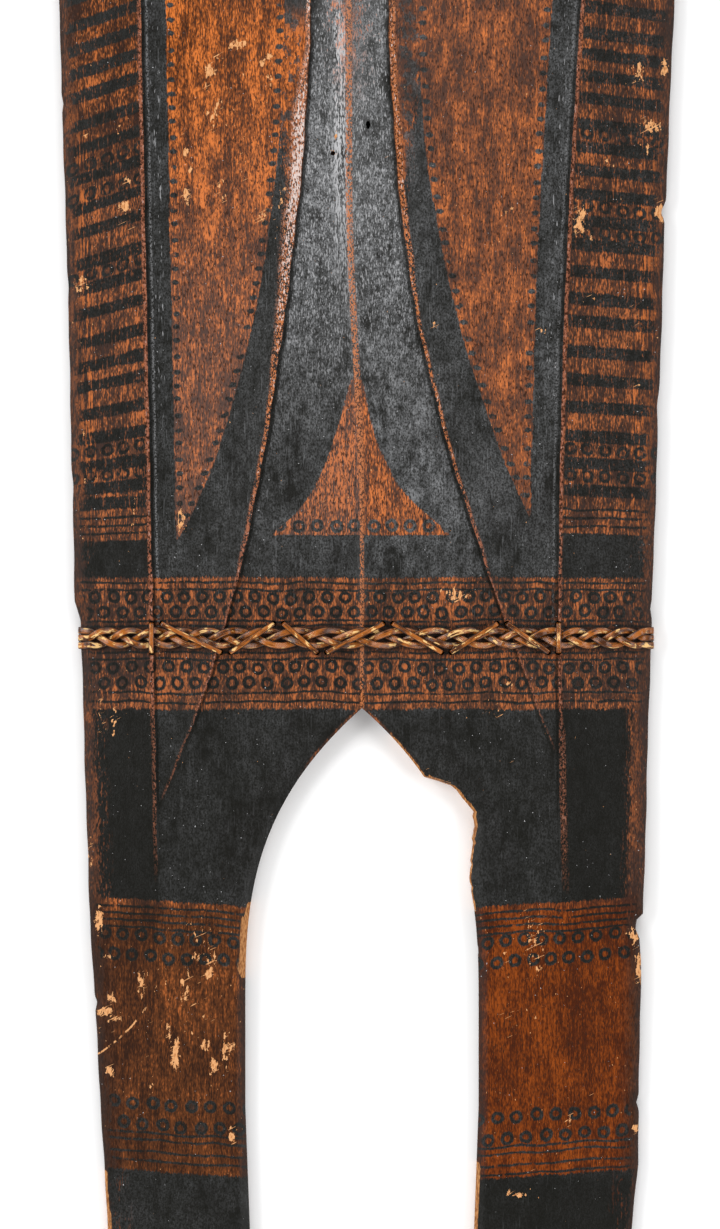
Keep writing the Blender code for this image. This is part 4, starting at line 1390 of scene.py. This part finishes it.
class PaintedWood:
    """Black paint over red-brown wood, worn to bright and bare wood."""

    def __init__(self, paint):
        self.paint = paint
        self.finish = Finish("painted_wood")
        self.mask = ShieldPaint(self.finish)
        for name, (size, seed, detail, rough) in TEXTURES.items():
            setattr(self, name, self.finish.noise(size, seed, detail=detail, rough=rough))
        self.wear = ShieldWear(self.mask, self.wrinkle, self.fibres)
        self.legs = self.mask.within("legs")
        self.bands = self.mask.within("bands") * (1 - self.legs)
        self.plain = self.bands.most(self.legs).most(self.mask.on_strip)
        self.on_spire = self.mask.spire.smooth(-1.0, 0.0)
        self.low_left = self.mask.within("lower left") * (1 - self.mask.right)

    def wood_tone(self):
        """How light the stained wood is: the panels are the brightest, the rest is darker."""
        mask, legs, plain = self.mask, self.legs, self.plain
        # The right half is darker than the left: painted shade, as if the light fell from the left
        upper_shade, lower_shade = mask.side_value(-0.02, 0.20), mask.side_value(0.04, 0.10)
        shade = mixed(upper_shade, lower_shade, mask.within("lower shade"))
        shade = shade + mask.within("darker panel ends") * 0.10 + self.low_left * 0.14 - self.on_spire * 0.26
        calm = mask.right * (1 - plain) * 0.26
        contrast = 1.0 - calm + mask.on_strip * 0.2 + self.on_spire * 0.5
        contrast = mixed(contrast, mask.side_value(0.62, 0.75), legs)
        tone = (self.fibres.swing(4.2) + self.strands.swing(3.0)) * contrast
        tone = tone + self.mottle.swing(mixed(mask.side_value(3.0, 2.3), 1.6, legs))
        strip_shade = mask.on_strip * (0.20 + mask.within("darker strips") * 0.14)
        plain_shade = legs * mask.side_value(0.24, 0.16) + strip_shade + self.bands * 0.03
        # A little more painted shade on the right half
        darker = mixed(shade + mask.right * 0.06, plain_shade, plain)
        blotched = mixed(mixed(2.6, 3.0, mask.on_strip), mask.side_value(1.0, 1.8), legs)
        return tone + self.patches.swing(mixed(2.8, blotched, plain)) - darker

    def stained_wood(self):
        """The wood before dirt, paint and wear."""
        finish, mask, paint = self.finish, self.mask, self.paint
        tone = self.wood_tone()
        reddened = self.plain.most(self.low_left * 0.35)
        bright = finish.mix(reddened, paint.bright_wood, paint.bright_red)
        middle = finish.mix(reddened, paint.middle_wood, paint.middle_red)
        dark = finish.mix(self.plain, paint.dark_wood, paint.dark_red)
        wood = finish.mix(tone.smooth(-0.95, 0.15), dark, middle)
        wood = finish.mix(tone.smooth(-0.10, 1.05), wood, bright)
        gold = finish.mix(tone.smooth(-0.9, 0.7), paint.golden_shade, paint.golden_wood)
        amber = mask.on_strip * mask.rim.near(7.0, 3.0, 4.0)
        amber = amber * mask.within("amber strips start") * mask.within("amber strips end")
        streaked = (self.strands + mask.fade.swing(0.5)).smooth(0.50, 0.62)
        wood = finish.mix(amber * streaked * 0.75, wood, paint.bright_wood)
        wood = finish.mix(self.legs * mask.right * mask.rim.smooth(1.0, 9.0) * 0.85, wood, gold)
        # A grey film over the wood, more on the right half: dust, and a painted sheen
        film = mask.within("dusty film").most(mask.right * 0.9) * (1 - self.legs)
        film = film * mixed(0.11 + self.low_left * 0.06, 0.06, self.plain)
        wood = finish.mix(film, wood, paint.dust_and_sheen)
        pores = finish.noise((0.8, 2.2, 2.0), 12, detail=1.0).smooth(0.58, 0.66)
        return finish.mix(pores * mixed(0.8, 0.6, self.plain), wood, paint.dark_red)

    def grimed_and_shaded_wood(self):
        """The stained wood with dirt along the rims and the arch, and dirt and painted shade round the
        lashings.
        """
        mask = self.mask
        wood = self.stained_wood()
        # Dirt and painted shade under and beside the plaited lashings
        lashing = mask.drawn.near(LASHING_REACH, BAND_EDGE, BAND_EDGE)
        lashing = lashing * mixed(0.5, 1.0, mask.fade.smooth(0.30, 0.60))
        rim = (mask.rim + mask.fade.swing(7)).smooth(4.5, 0.5) * 0.75
        streaked = (self.strands + self.fibres.swing(0.6)).smooth(0.46, 0.56)
        rim_streaks = mask.rim.smooth(12.0, 3.0) * streaked * 0.75
        arch = (mask.arch + mask.fade.swing(7)).smooth(5.5, 0.5) * self.legs * 0.8
        return self.finish.mix(lashing.most(rim).most(arch).most(rim_streaks), wood, self.paint.grime_and_shade)

    def pattern_ink(self):
        """1 where black paint lies, thinned where it has rubbed."""
        mask = self.mask
        ink = (mask.fields() * (1 - self.wear.shoulders() * (1 - self.legs))).most(mask.bars())
        drawn = mask.ruled().most(mask.ring_rows()).most(mask.strip_rings()).most(mask.spire_rings())
        drawn = drawn * (mask.fade + mask.ragged * 0.1).smooth(0.20, 0.32)
        spots = mask.dots() * (1 - mask.on_strip) * mask.within("dotted panels")
        ink = ink.most(drawn).most(spots)
        streaks = (self.fibres * 0.6 + self.strands * 0.6 + mask.fade.swing(0.3)).smooth(0.66, 0.76)
        eroded = mixed(mask.barred.smooth(*ERODED_BARS) * 0.35, 0.8, mask.rim.smooth(14.0, 4.0))
        return ink * (1 - streaks * mask.on_strip * eroded)

    def rubbed_places(self):
        """Crests, ridge and lips where the paint has rubbed away, fainter on the legs."""
        mask, wear = self.mask, self.wear
        rubbed = wear.crests().most(wear.groove_lips()).most(wear.ridge())
        return rubbed * (1 - self.legs) * mask.within("full rubbing").most(0.62)

    def rubbed_ink(self, ink, rubbed, ticks):
        """The ink with its rubbed places and the brown line along the arch taken away."""
        mask = self.mask
        ink = ink * (1 - rubbed * ticks)
        arch_line = (mask.arch + self.wrinkle.swing(2.2)).smooth(1.7, 0.7) * mask.within("arch line")
        return ink * (1 - arch_line * mask.fade.smooth(0.34, 0.46) * 0.85)

    def rubbed_wood(self, wood, rubbed, ticks):
        """Rubbed wood is bright and speckled on the crests and the ridge, and dull elsewhere, with a painted
        highlight in white fibres.
        """
        finish, mask, paint = self.finish, self.mask, self.paint
        bright = finish.mix(ticks, paint.dark_wood, paint.rubbed_wood)
        dull_wood = finish.mix(self.wrinkle.smooth(0.38, 0.60), paint.dark_red, paint.dull_wood)
        dull = mask.on_strip.most(mask.within("dull rubbing") * abs(mask.ridge).over(4.0))
        rubbed_wood = finish.mix(dull, bright, dull_wood)
        highlit = self.wear.painted_highlight() * mixed(1.0, 0.35, dull) * abs(mask.ridge).smooth(2.0, 4.0)
        rubbed_wood = finish.mix(highlit, rubbed_wood, paint.crest_highlight)
        return finish.mix(rubbed * 0.92, wood, rubbed_wood)

    def black_paint(self, inside):
        """Black paint: grey towards the boss, where dust lies and a sheen is painted, and deep on the legs
        and the strips.
        """
        finish, mask = self.finish, self.mask
        # Grey between the crests near the boss: dust, and a painted sheen
        near_field = mixed(mask.side_value(0.18, 0.34), 0.50, mask.within("grey field"))
        outside = mixed(mask.side_value(0.10, 0.165), 0.055, mask.within("deep black"))
        banded = self.bands * mask.within("banded black")
        patterned = (mask.on_strip * mask.within("patterned strips")).most(banded)
        outside = outside * mixed(1.0, 0.3, patterned)
        outside = outside * (1 - mask.within("black right tip") * mask.right * 0.7)
        dust_sheen = mixed(outside, near_field, inside * mask.within("dusty field"))
        scuffs = finish.noise((0.8, 11.0, 4.0), 14, detail=1.0).smooth(0.66, 0.72)
        scuffs = scuffs * mixed(0.35, 1.0, mask.within("scuffed black"))
        # The grey comes in speckles: dust, and painted glints where the field is greyest
        speckle = self.fine.swing(1.1) + self.wrinkle.swing(0.8) + self.fibres.swing(0.4)
        speckle = 0.25 + speckle.smooth(-0.26, 0.30) * 1.6
        cloudy = 1 + mask.fade.swing(2.6) + self.patches.swing(2.2)
        cloudy = (cloudy + self.mottle.swing(2.6) + self.strands.swing(1.2)).most(0.15)
        # How far the black turns to the grey of dust and painted sheen
        dust = (dust_sheen * speckle * cloudy + scuffs * 0.22 * (1 - mask.on_strip)).most(0.0)
        return finish.mix(dust, self.paint.black, self.paint.dust_and_sheen)

    def painted_shadow_lines(self):
        """Painted shadow: a dark line in each groove, and along the step beside each crest."""
        mask = self.mask
        groove = mask.strip.near(-0.9, 0.45, 0.4) * mask.within("grooves")
        shadow = mixed(0.40, mask.side_value(0.70, 0.45), mask.within("wide steps"))
        step = mask.crest.near(-1.2, shadow, 0.7) * mask.within("steps end") * mask.within("steps start")
        return (groove * 0.65).most(step * 0.75)

    def glinting_black(self, black, upper):
        """The black paint with its painted glitter near the boss, and its painted sheen beside the grooves
        and the ridge.
        """
        finish, mask = self.finish, self.mask
        glitter = (self.fibres + mask.fade.swing(0.2)).smooth(0.58, 0.64) * upper * 0.55
        sheen = mask.strip.near(-2.8, 0.3, 0.5) * self.fine.smooth(0.40, 0.60)
        sheen = sheen * mask.side_value(0.22, 0.12) * mask.within("groove sheen")
        ticked = finish.noise((0.7, 4.5, 3.0), 17, detail=1.0).smooth(0.66, 0.72)
        glint = mask.strip.near(-6.4, 1.6, 1.2) * ticked * 0.5 * mask.within("glints")
        streaked = (self.fibres + self.strands.swing(0.8)).smooth(0.45, 0.58)
        beside_ridge = mask.ridge.near(-4.2, 1.8, 3.6) * streaked
        beside_ridge = beside_ridge * mask.within("ridge sheen end") * mask.within("ridge sheen start")
        sheen = sheen.most(glint).most(glitter).most(beside_ridge * 0.9) * (1 - mask.on_strip)
        return finish.mix(sheen, black, self.paint.glint)

    def bare_places(self, ink):
        """Chips and scratches down to bare wood."""
        finish, mask = self.finish, self.mask
        speck = finish.noise((1.7, 3.9, 2.5), 9, detail=3.0, rough=0.62)
        chipped = (speck + mask.chips * 0.46).smooth(0.875, 0.885)
        turned = finish.join(mask.x * 0.9 + mask.y * 0.43, mask.y * 0.9 - mask.x * 0.43, 0.0)
        scratch = finish.noise((9.0, 0.55, 1.0), 15, detail=1.0, place=turned)
        scratched = (scratch + mask.chips * 0.30).smooth(0.88, 0.91).most(long_scratch(mask))
        strays = finish.noise((0.9, 2.0, 1.0), 10, detail=1.0)
        strays = (strays + (1 - ink) * 0.035).smooth(0.815, 0.835) * 0.9
        return chipped.most(strays).most(scratched)

    def colour(self, ink, wood, black, lines, bare):
        """The front's layers one over another, and the plain dark wood of the edges and the back."""
        finish, mask, paint = self.finish, self.mask, self.paint
        fibres, strands = self.fibres, self.strands
        split = (mask.fresh + strands.swing(0.9) + mask.fade.swing(0.7)).smooth(0.42, 0.52)
        specks = finish.noise((0.9, 0.9, 1.0), 16, detail=0.0).smooth(0.868, 0.882) * 0.8
        front = finish.mix(ink, wood, black)
        # The painted shadows of grooves and steps, in the black paint's colour
        front = finish.mix(lines * 0.9, front, paint.black)
        tan = finish.mix(fibres.smooth(0.32, 0.50), paint.bare_shade, paint.bare_wood)
        fresh = finish.mix(fibres.smooth(0.38, 0.62), paint.split_shade, paint.split_wood)
        front = finish.mix(bare, front, tan)
        front = finish.mix(split, front, fresh)
        front = finish.mix(specks, front, paint.glint)
        worked = (strands * 0.6 + fibres * 0.4).smooth(0.42, 0.60)
        worked = finish.mix(worked, paint.back_shade, paint.back_wood)
        worked = finish.mix(split, worked, fresh)
        return finish.mix(mask.front, worked, front)

    def finished(self):
        """The material, with every layer worked out in turn."""
        finish, mask, paint = self.finish, self.mask, self.paint
        # Stained wood with dirt, and painted shade round the lashings
        wood = self.grimed_and_shaded_wood()
        ink = self.pattern_ink()
        rubbed = self.rubbed_places()
        ticks = (self.wrinkle * 0.6 + self.fine * 0.4).smooth(0.44, 0.54)
        ink = self.rubbed_ink(ink, rubbed, ticks)
        # Rubbed wood, with its painted highlight
        wood = self.rubbed_wood(wood, rubbed, ticks)
        inside = mask.crest.smooth(0.0, -2.5) * (1 - mask.on_strip)
        black = self.black_paint(inside)
        # Painted shadows in the grooves and beside the crests' steps
        lines = self.painted_shadow_lines()
        upper = mask.within("upper field") * inside
        # Painted glitter and sheen on the black
        black = self.glinting_black(black, upper)
        bare = self.bare_places(ink)
        colour = self.colour(ink, wood, black, lines, bare)

        roughness = mixed(paint.wood_roughness, paint.paint_roughness, ink * mask.front)
        roughness = roughness + self.fine.swing(0.3) + bare * 0.25 - rubbed * 0.12
        coat = (upper * 0.25).most(rubbed * self.wear.flank() * 0.4) * (1 - bare) * mask.front
        dents = finish.noise((3.0, 4.5, 4.0), 11, detail=1.0)
        height = self.fibres * 0.35 + self.fine * 0.40 + dents * 0.9
        finish.connect(coat, finish.shader.inputs["Coat Weight"])
        constants = {"Coat_Roughness": COAT_ROUGHNESS, "IOR": IOR, "Specular_IOR_Level": SPECULAR}
        return finish.finish(colour, roughness, height, paint.relief, **constants)


def cane_finish(cane):
    """Split cane: glossy amber skin with long fibres, darker at the sides with dirt and painted shade, and
    pale where rubbed.
    """
    finish = Finish("cane")
    run, across = finish.guide("run"), finish.guide("across")
    place = finish.join(run, across, 1.0)
    fibres = finish.noise((9.0, 0.14, 1.0), 1, detail=2.0, place=place)
    blotches = finish.noise((6.0, 1.6, 1.0), 2, detail=2.0, place=place)
    rubs = finish.noise((4.5, 1.1, 1.0), 3, detail=2.0, place=place)
    tone = fibres.swing(0.7) + blotches
    skin = finish.mix(tone.smooth(0.36, 0.62), cane.dark_cane, cane.amber_cane)
    left_end = finish.parts(finish.place)[0].smooth(-100.0, -125.0)
    worn = (rubs + fibres.swing(0.3) + left_end * 0.03).smooth(0.59, 0.64)
    worn = worn * (1 - abs(across).smooth(0.55, 0.9))
    skin = finish.mix(worn, skin, cane.pale_cane)
    # The sides of the cane turn down towards the plank: dirt and painted shade
    sides = abs(across).smooth(0.60, 0.92)
    skin = finish.mix(sides * 0.9, skin, cane.cane_dirt_and_shade)
    roughness = mixed(cane.cane_roughness, 0.55, worn.most(sides)) + fibres.swing(0.2)
    return finish.finish(skin, roughness, fibres, cane.fibre_relief, Specular_IOR_Level=0.4)


def floor_finish(stage):
    """A pale, dull floor."""
    finish = Finish("pale_floor")
    cloud = finish.noise((300, 300, 300), 1, detail=2.0)
    colour = finish.mix(cloud.smooth(0.3, 0.7), stage.floor_colour, stage.floor_shade)
    return finish.finish(colour, 0.9, cloud, 0.0, Specular_IOR_Level=0.1)


# The add-on


def colour_property(name, description, colour):
    return bpy.props.FloatVectorProperty(
        name=name, description=description, default=(*colour, 1.0), size=4, subtype="COLOR", min=0.0, max=1.0
    )


def number_property(name, description, value, **kind):
    return bpy.props.FloatProperty(name=name, description=description, default=value, **kind)


class PaintSettings(bpy.types.PropertyGroup):
    """Colours and gloss of the painted plank."""

    black: colour_property("Black", "Black paint", (0.0062, 0.0060, 0.0045))
    # Grey of dust and of a painted sheen, on the black near the boss and as a film over the wood
    dust_and_sheen: colour_property("Dusty black", "Rubbed and dusty black paint", (0.175, 0.178, 0.183))
    # Painted highlights: glitter, glints and sheen lines on the black; also the colour of the pale specks
    # over the front
    glint: colour_property("Glint", "Polished lines and pale dust", (0.46, 0.46, 0.47))
    bright_wood: colour_property("Bright wood", "Bright fibres of the panels", (0.58, 0.150, 0.024))
    middle_wood: colour_property("Middle wood", "Stained wood of the panels", (0.195, 0.048, 0.006))
    dark_wood: colour_property("Dark wood", "Dark fibres of the panels", (0.048, 0.012, 0.0012))
    bright_red: colour_property("Bright red wood", "Bright fibres off the panels", (0.40, 0.108, 0.024))
    middle_red: colour_property("Middle red wood", "Wood of strips, bands and legs", (0.098, 0.029, 0.007))
    dark_red: colour_property("Dark red wood", "Dark fibres and stains", (0.024, 0.0075, 0.0026))
    golden_wood: colour_property("Golden wood", "The right leg's middle", (0.215, 0.040, 0.0006))
    golden_shade: colour_property("Golden shade", "Dark fibres of the right leg", (0.055, 0.0090, 0.0001))
    rubbed_wood: colour_property("Rubbed wood", "Wood that wear has bared", (0.46, 0.150, 0.050))
    dull_wood: colour_property("Dull rubbed wood", "Rubbed wood of the lips", (0.30, 0.105, 0.056))
    # Painted highlight: white fibres on the rubbed crests
    crest_highlight: colour_property("Polished wood", "Shining fibres of the crests", (0.60, 0.50, 0.46))
    bare_wood: colour_property("Bare wood", "Chipped wood", (0.66, 0.33, 0.14))
    bare_shade: colour_property("Bare wood shade", "Darker fibres of chipped wood", (0.40, 0.15, 0.045))
    split_wood: colour_property("Split wood", "Fresh wood of broken edges", (0.44, 0.20, 0.070))
    split_shade: colour_property("Split wood shade", "Darker fibres of broken edges", (0.22, 0.080, 0.022))
    # Dirt along the rims and the arch, and painted shade round the lashings
    grime_and_shade: colour_property("Grime", "Dirt along the rims and the lashings", (0.022, 0.013, 0.010))
    back_wood: colour_property("Back wood", "Wood of the back and edges", (0.080, 0.034, 0.016))
    back_shade: colour_property("Back wood shade", "Dark fibres of the back", (0.024, 0.012, 0.007))
    wood_roughness: number_property("Wood roughness", "Roughness of the wood", 0.48, min=0.0, max=1.0)
    paint_roughness: number_property("Paint roughness", "Roughness of the paint", 0.42, min=0.0, max=1.0)
    relief: number_property("Relief", "Depth of the fine surface relief", 0.00026, unit="LENGTH")


class CaneSettings(bpy.types.PropertyGroup):
    """Colours and gloss of the cane lashings."""

    amber_cane: colour_property("Amber", "Skin of the cane", (0.36, 0.105, 0.012))
    dark_cane: colour_property("Dark", "Dark skin of the cane", (0.058, 0.016, 0.003))
    pale_cane: colour_property("Pale", "Rubbed skin of the cane", (0.78, 0.48, 0.18))
    # Dirt and painted shade on the sides of the cane
    cane_dirt_and_shade: colour_property("Grime", "Dirt on the sides of the cane", (0.008, 0.004, 0.002))
    cane_roughness: number_property("Roughness", "Roughness of the skin", 0.24, min=0.0, max=1.0)
    fibre_relief: number_property("Fibre relief", "Depth of the fibres", 0.00010, unit="LENGTH")


class StageSettings(bpy.types.PropertyGroup):
    """Floor, lights and camera."""

    floor_colour: colour_property("Floor", "Colour of the floor", (0.95, 0.95, 0.95))
    floor_shade: colour_property("Floor shade", "Second colour of the floor", (0.94, 0.94, 0.945))
    floor_size: number_property("Floor size", "Side of the floor", 12.0, unit="LENGTH")
    camera_height: number_property("Camera height", "Height of the camera", 3.6, unit="LENGTH")
    camera_x: number_property("Camera x", "Place of the camera across", -0.0035, unit="LENGTH")
    camera_y: number_property("Camera y", "Place of the camera along", -0.25475, unit="LENGTH")
    view_length: number_property("View length", "Length that the view takes in", 0.6145, unit="LENGTH")
    key_power: number_property("Key light", "Power of the left light", 92.0, unit="POWER")
    fill_power: number_property("Fill light", "Power of the right light", 58.0, unit="POWER")
    head_power: number_property("Head light", "Power of the light beyond the prongs", 44.0, unit="POWER")
    foot_power: number_property("Foot light", "Power of the light beyond the legs", 43.0, unit="POWER")
    sky_strength: number_property("Sky strength", "Strength of the light all round", 0.30, min=0.0)


# The soft lights and their places round the shield
LIGHTS = {
    "key": (-2.7, 0.5, 2.3),
    "fill": (2.7, -0.4, 2.3),
    "head": (0.3, 2.5, 2.3),
    "foot": (-0.3, -2.9, 2.3),
}
LIGHT_SIZE, SENSOR_HEIGHT = 2.2, 36.0


def add_area_light(name, place, target, power):
    """A square soft light that faces the target."""
    light = bpy.data.lights.new(name, "AREA")
    light.size = LIGHT_SIZE
    light.energy = power
    made = bpy.data.objects.new(name, light)
    made.location = place
    made.rotation_euler = (Vector(target) - Vector(place)).to_track_quat("-Z", "Y").to_euler()
    bpy.context.scene.collection.objects.link(made)


def add_floor(stage):
    """The pale plain floor, which belongs to the stage."""
    bm = bmesh.new()
    bmesh.ops.create_grid(bm, x_segments=1, y_segments=1, size=stage.floor_size / 2)
    mesh = bpy.data.meshes.new("floor")
    bm.to_mesh(mesh)
    bm.free()
    mesh.materials.append(floor_finish(stage))
    floor = bpy.data.objects.new("floor", mesh)
    bpy.context.scene.collection.objects.link(floor)


def add_lights(stage):
    """Four soft lights round the view's middle, and an even white sky."""
    middle = (stage.camera_x, stage.camera_y, 0.0)
    for name, place in LIGHTS.items():
        add_area_light(f"{name}_light", place, middle, getattr(stage, f"{name}_power"))
    world = bpy.data.worlds.new("studio")
    bpy.context.scene.world = world
    world.use_nodes = True
    sky = world.node_tree.nodes["Background"]
    sky.inputs["Color"].default_value = (1.0, 1.0, 1.0, 1.0)
    sky.inputs["Strength"].default_value = stage.sky_strength


def add_camera(stage):
    """A camera straight above, whose lens takes in the view's length at the plank's front."""
    lens = bpy.data.cameras.new("camera")
    lens.sensor_fit = "VERTICAL"
    lens.sensor_height = SENSOR_HEIGHT
    lens.lens = lens.sensor_height * (stage.camera_height - PLANK) / stage.view_length
    camera = bpy.data.objects.new("camera", lens)
    camera.location = (stage.camera_x, stage.camera_y, stage.camera_height)
    bpy.context.scene.collection.objects.link(camera)
    bpy.context.scene.camera = camera
    bpy.context.scene.view_settings.view_transform = "Standard"


class SHIELD_OT_stage(bpy.types.Operator):
    """Add the floor, the lights and the camera"""

    bl_idname = "shield.stage"
    bl_label = "Stage"

    def execute(self, context):
        stage = context.scene.shield_stage
        add_floor(stage)
        add_lights(stage)
        add_camera(stage)
        return {"FINISHED"}


class SHIELD_OT_plank(bpy.types.Operator):
    """Carve and paint the plank"""

    bl_idname = "shield.plank"
    bl_label = "Plank"

    def execute(self, context):
        build_plank(PaintedWood(context.scene.shield_paint).finished())
        return {"FINISHED"}


class SHIELD_OT_lashings(bpy.types.Operator):
    """Plait and sew the cane lashings"""

    bl_idname = "shield.lashings"
    bl_label = "Cane lashings"

    def execute(self, context):
        finish = cane_finish(context.scene.shield_cane)
        surface = plank_surface()
        canes = len(PHASES) + 1
        for number, (name, lashing) in enumerate(LASHINGS.items()):
            build_lashing(name, lashing, surface, finish, 1 + canes * number)
        return {"FINISHED"}


class SHIELD_PT_sidebar(bpy.types.Panel):
    """The shield's pieces and settings"""

    bl_idname = "SHIELD_PT_sidebar"
    bl_label = "Kalinga shield"
    bl_space_type = "VIEW_3D"
    bl_region_type = "UI"
    bl_category = "Shield"

    def draw(self, context):
        layout = self.layout
        for operator in OPERATORS:
            layout.operator(operator.bl_idname)
        for name in SETTINGS:
            group = getattr(context.scene, name)
            box = layout.box()
            for setting in group.bl_rna.properties.keys():
                if setting not in ("rna_type", "name"):
                    box.prop(group, setting)


SETTINGS = {"shield_paint": PaintSettings, "shield_cane": CaneSettings, "shield_stage": StageSettings}
OPERATORS = (SHIELD_OT_stage, SHIELD_OT_plank, SHIELD_OT_lashings)


def register():
    for group in (*SETTINGS.values(), *OPERATORS, SHIELD_PT_sidebar):
        bpy.utils.register_class(group)
    for name, group in SETTINGS.items():
        setattr(bpy.types.Scene, name, bpy.props.PointerProperty(type=group))


def unregister():
    for name in SETTINGS:
        delattr(bpy.types.Scene, name)
    for group in (SHIELD_PT_sidebar, *OPERATORS, *SETTINGS.values()):
        bpy.utils.unregister_class(group)


def main():
    register()
    bpy.ops.shield.stage()
    bpy.ops.shield.plank()
    bpy.ops.shield.lashings()


if __name__ == "__main__":
    main()
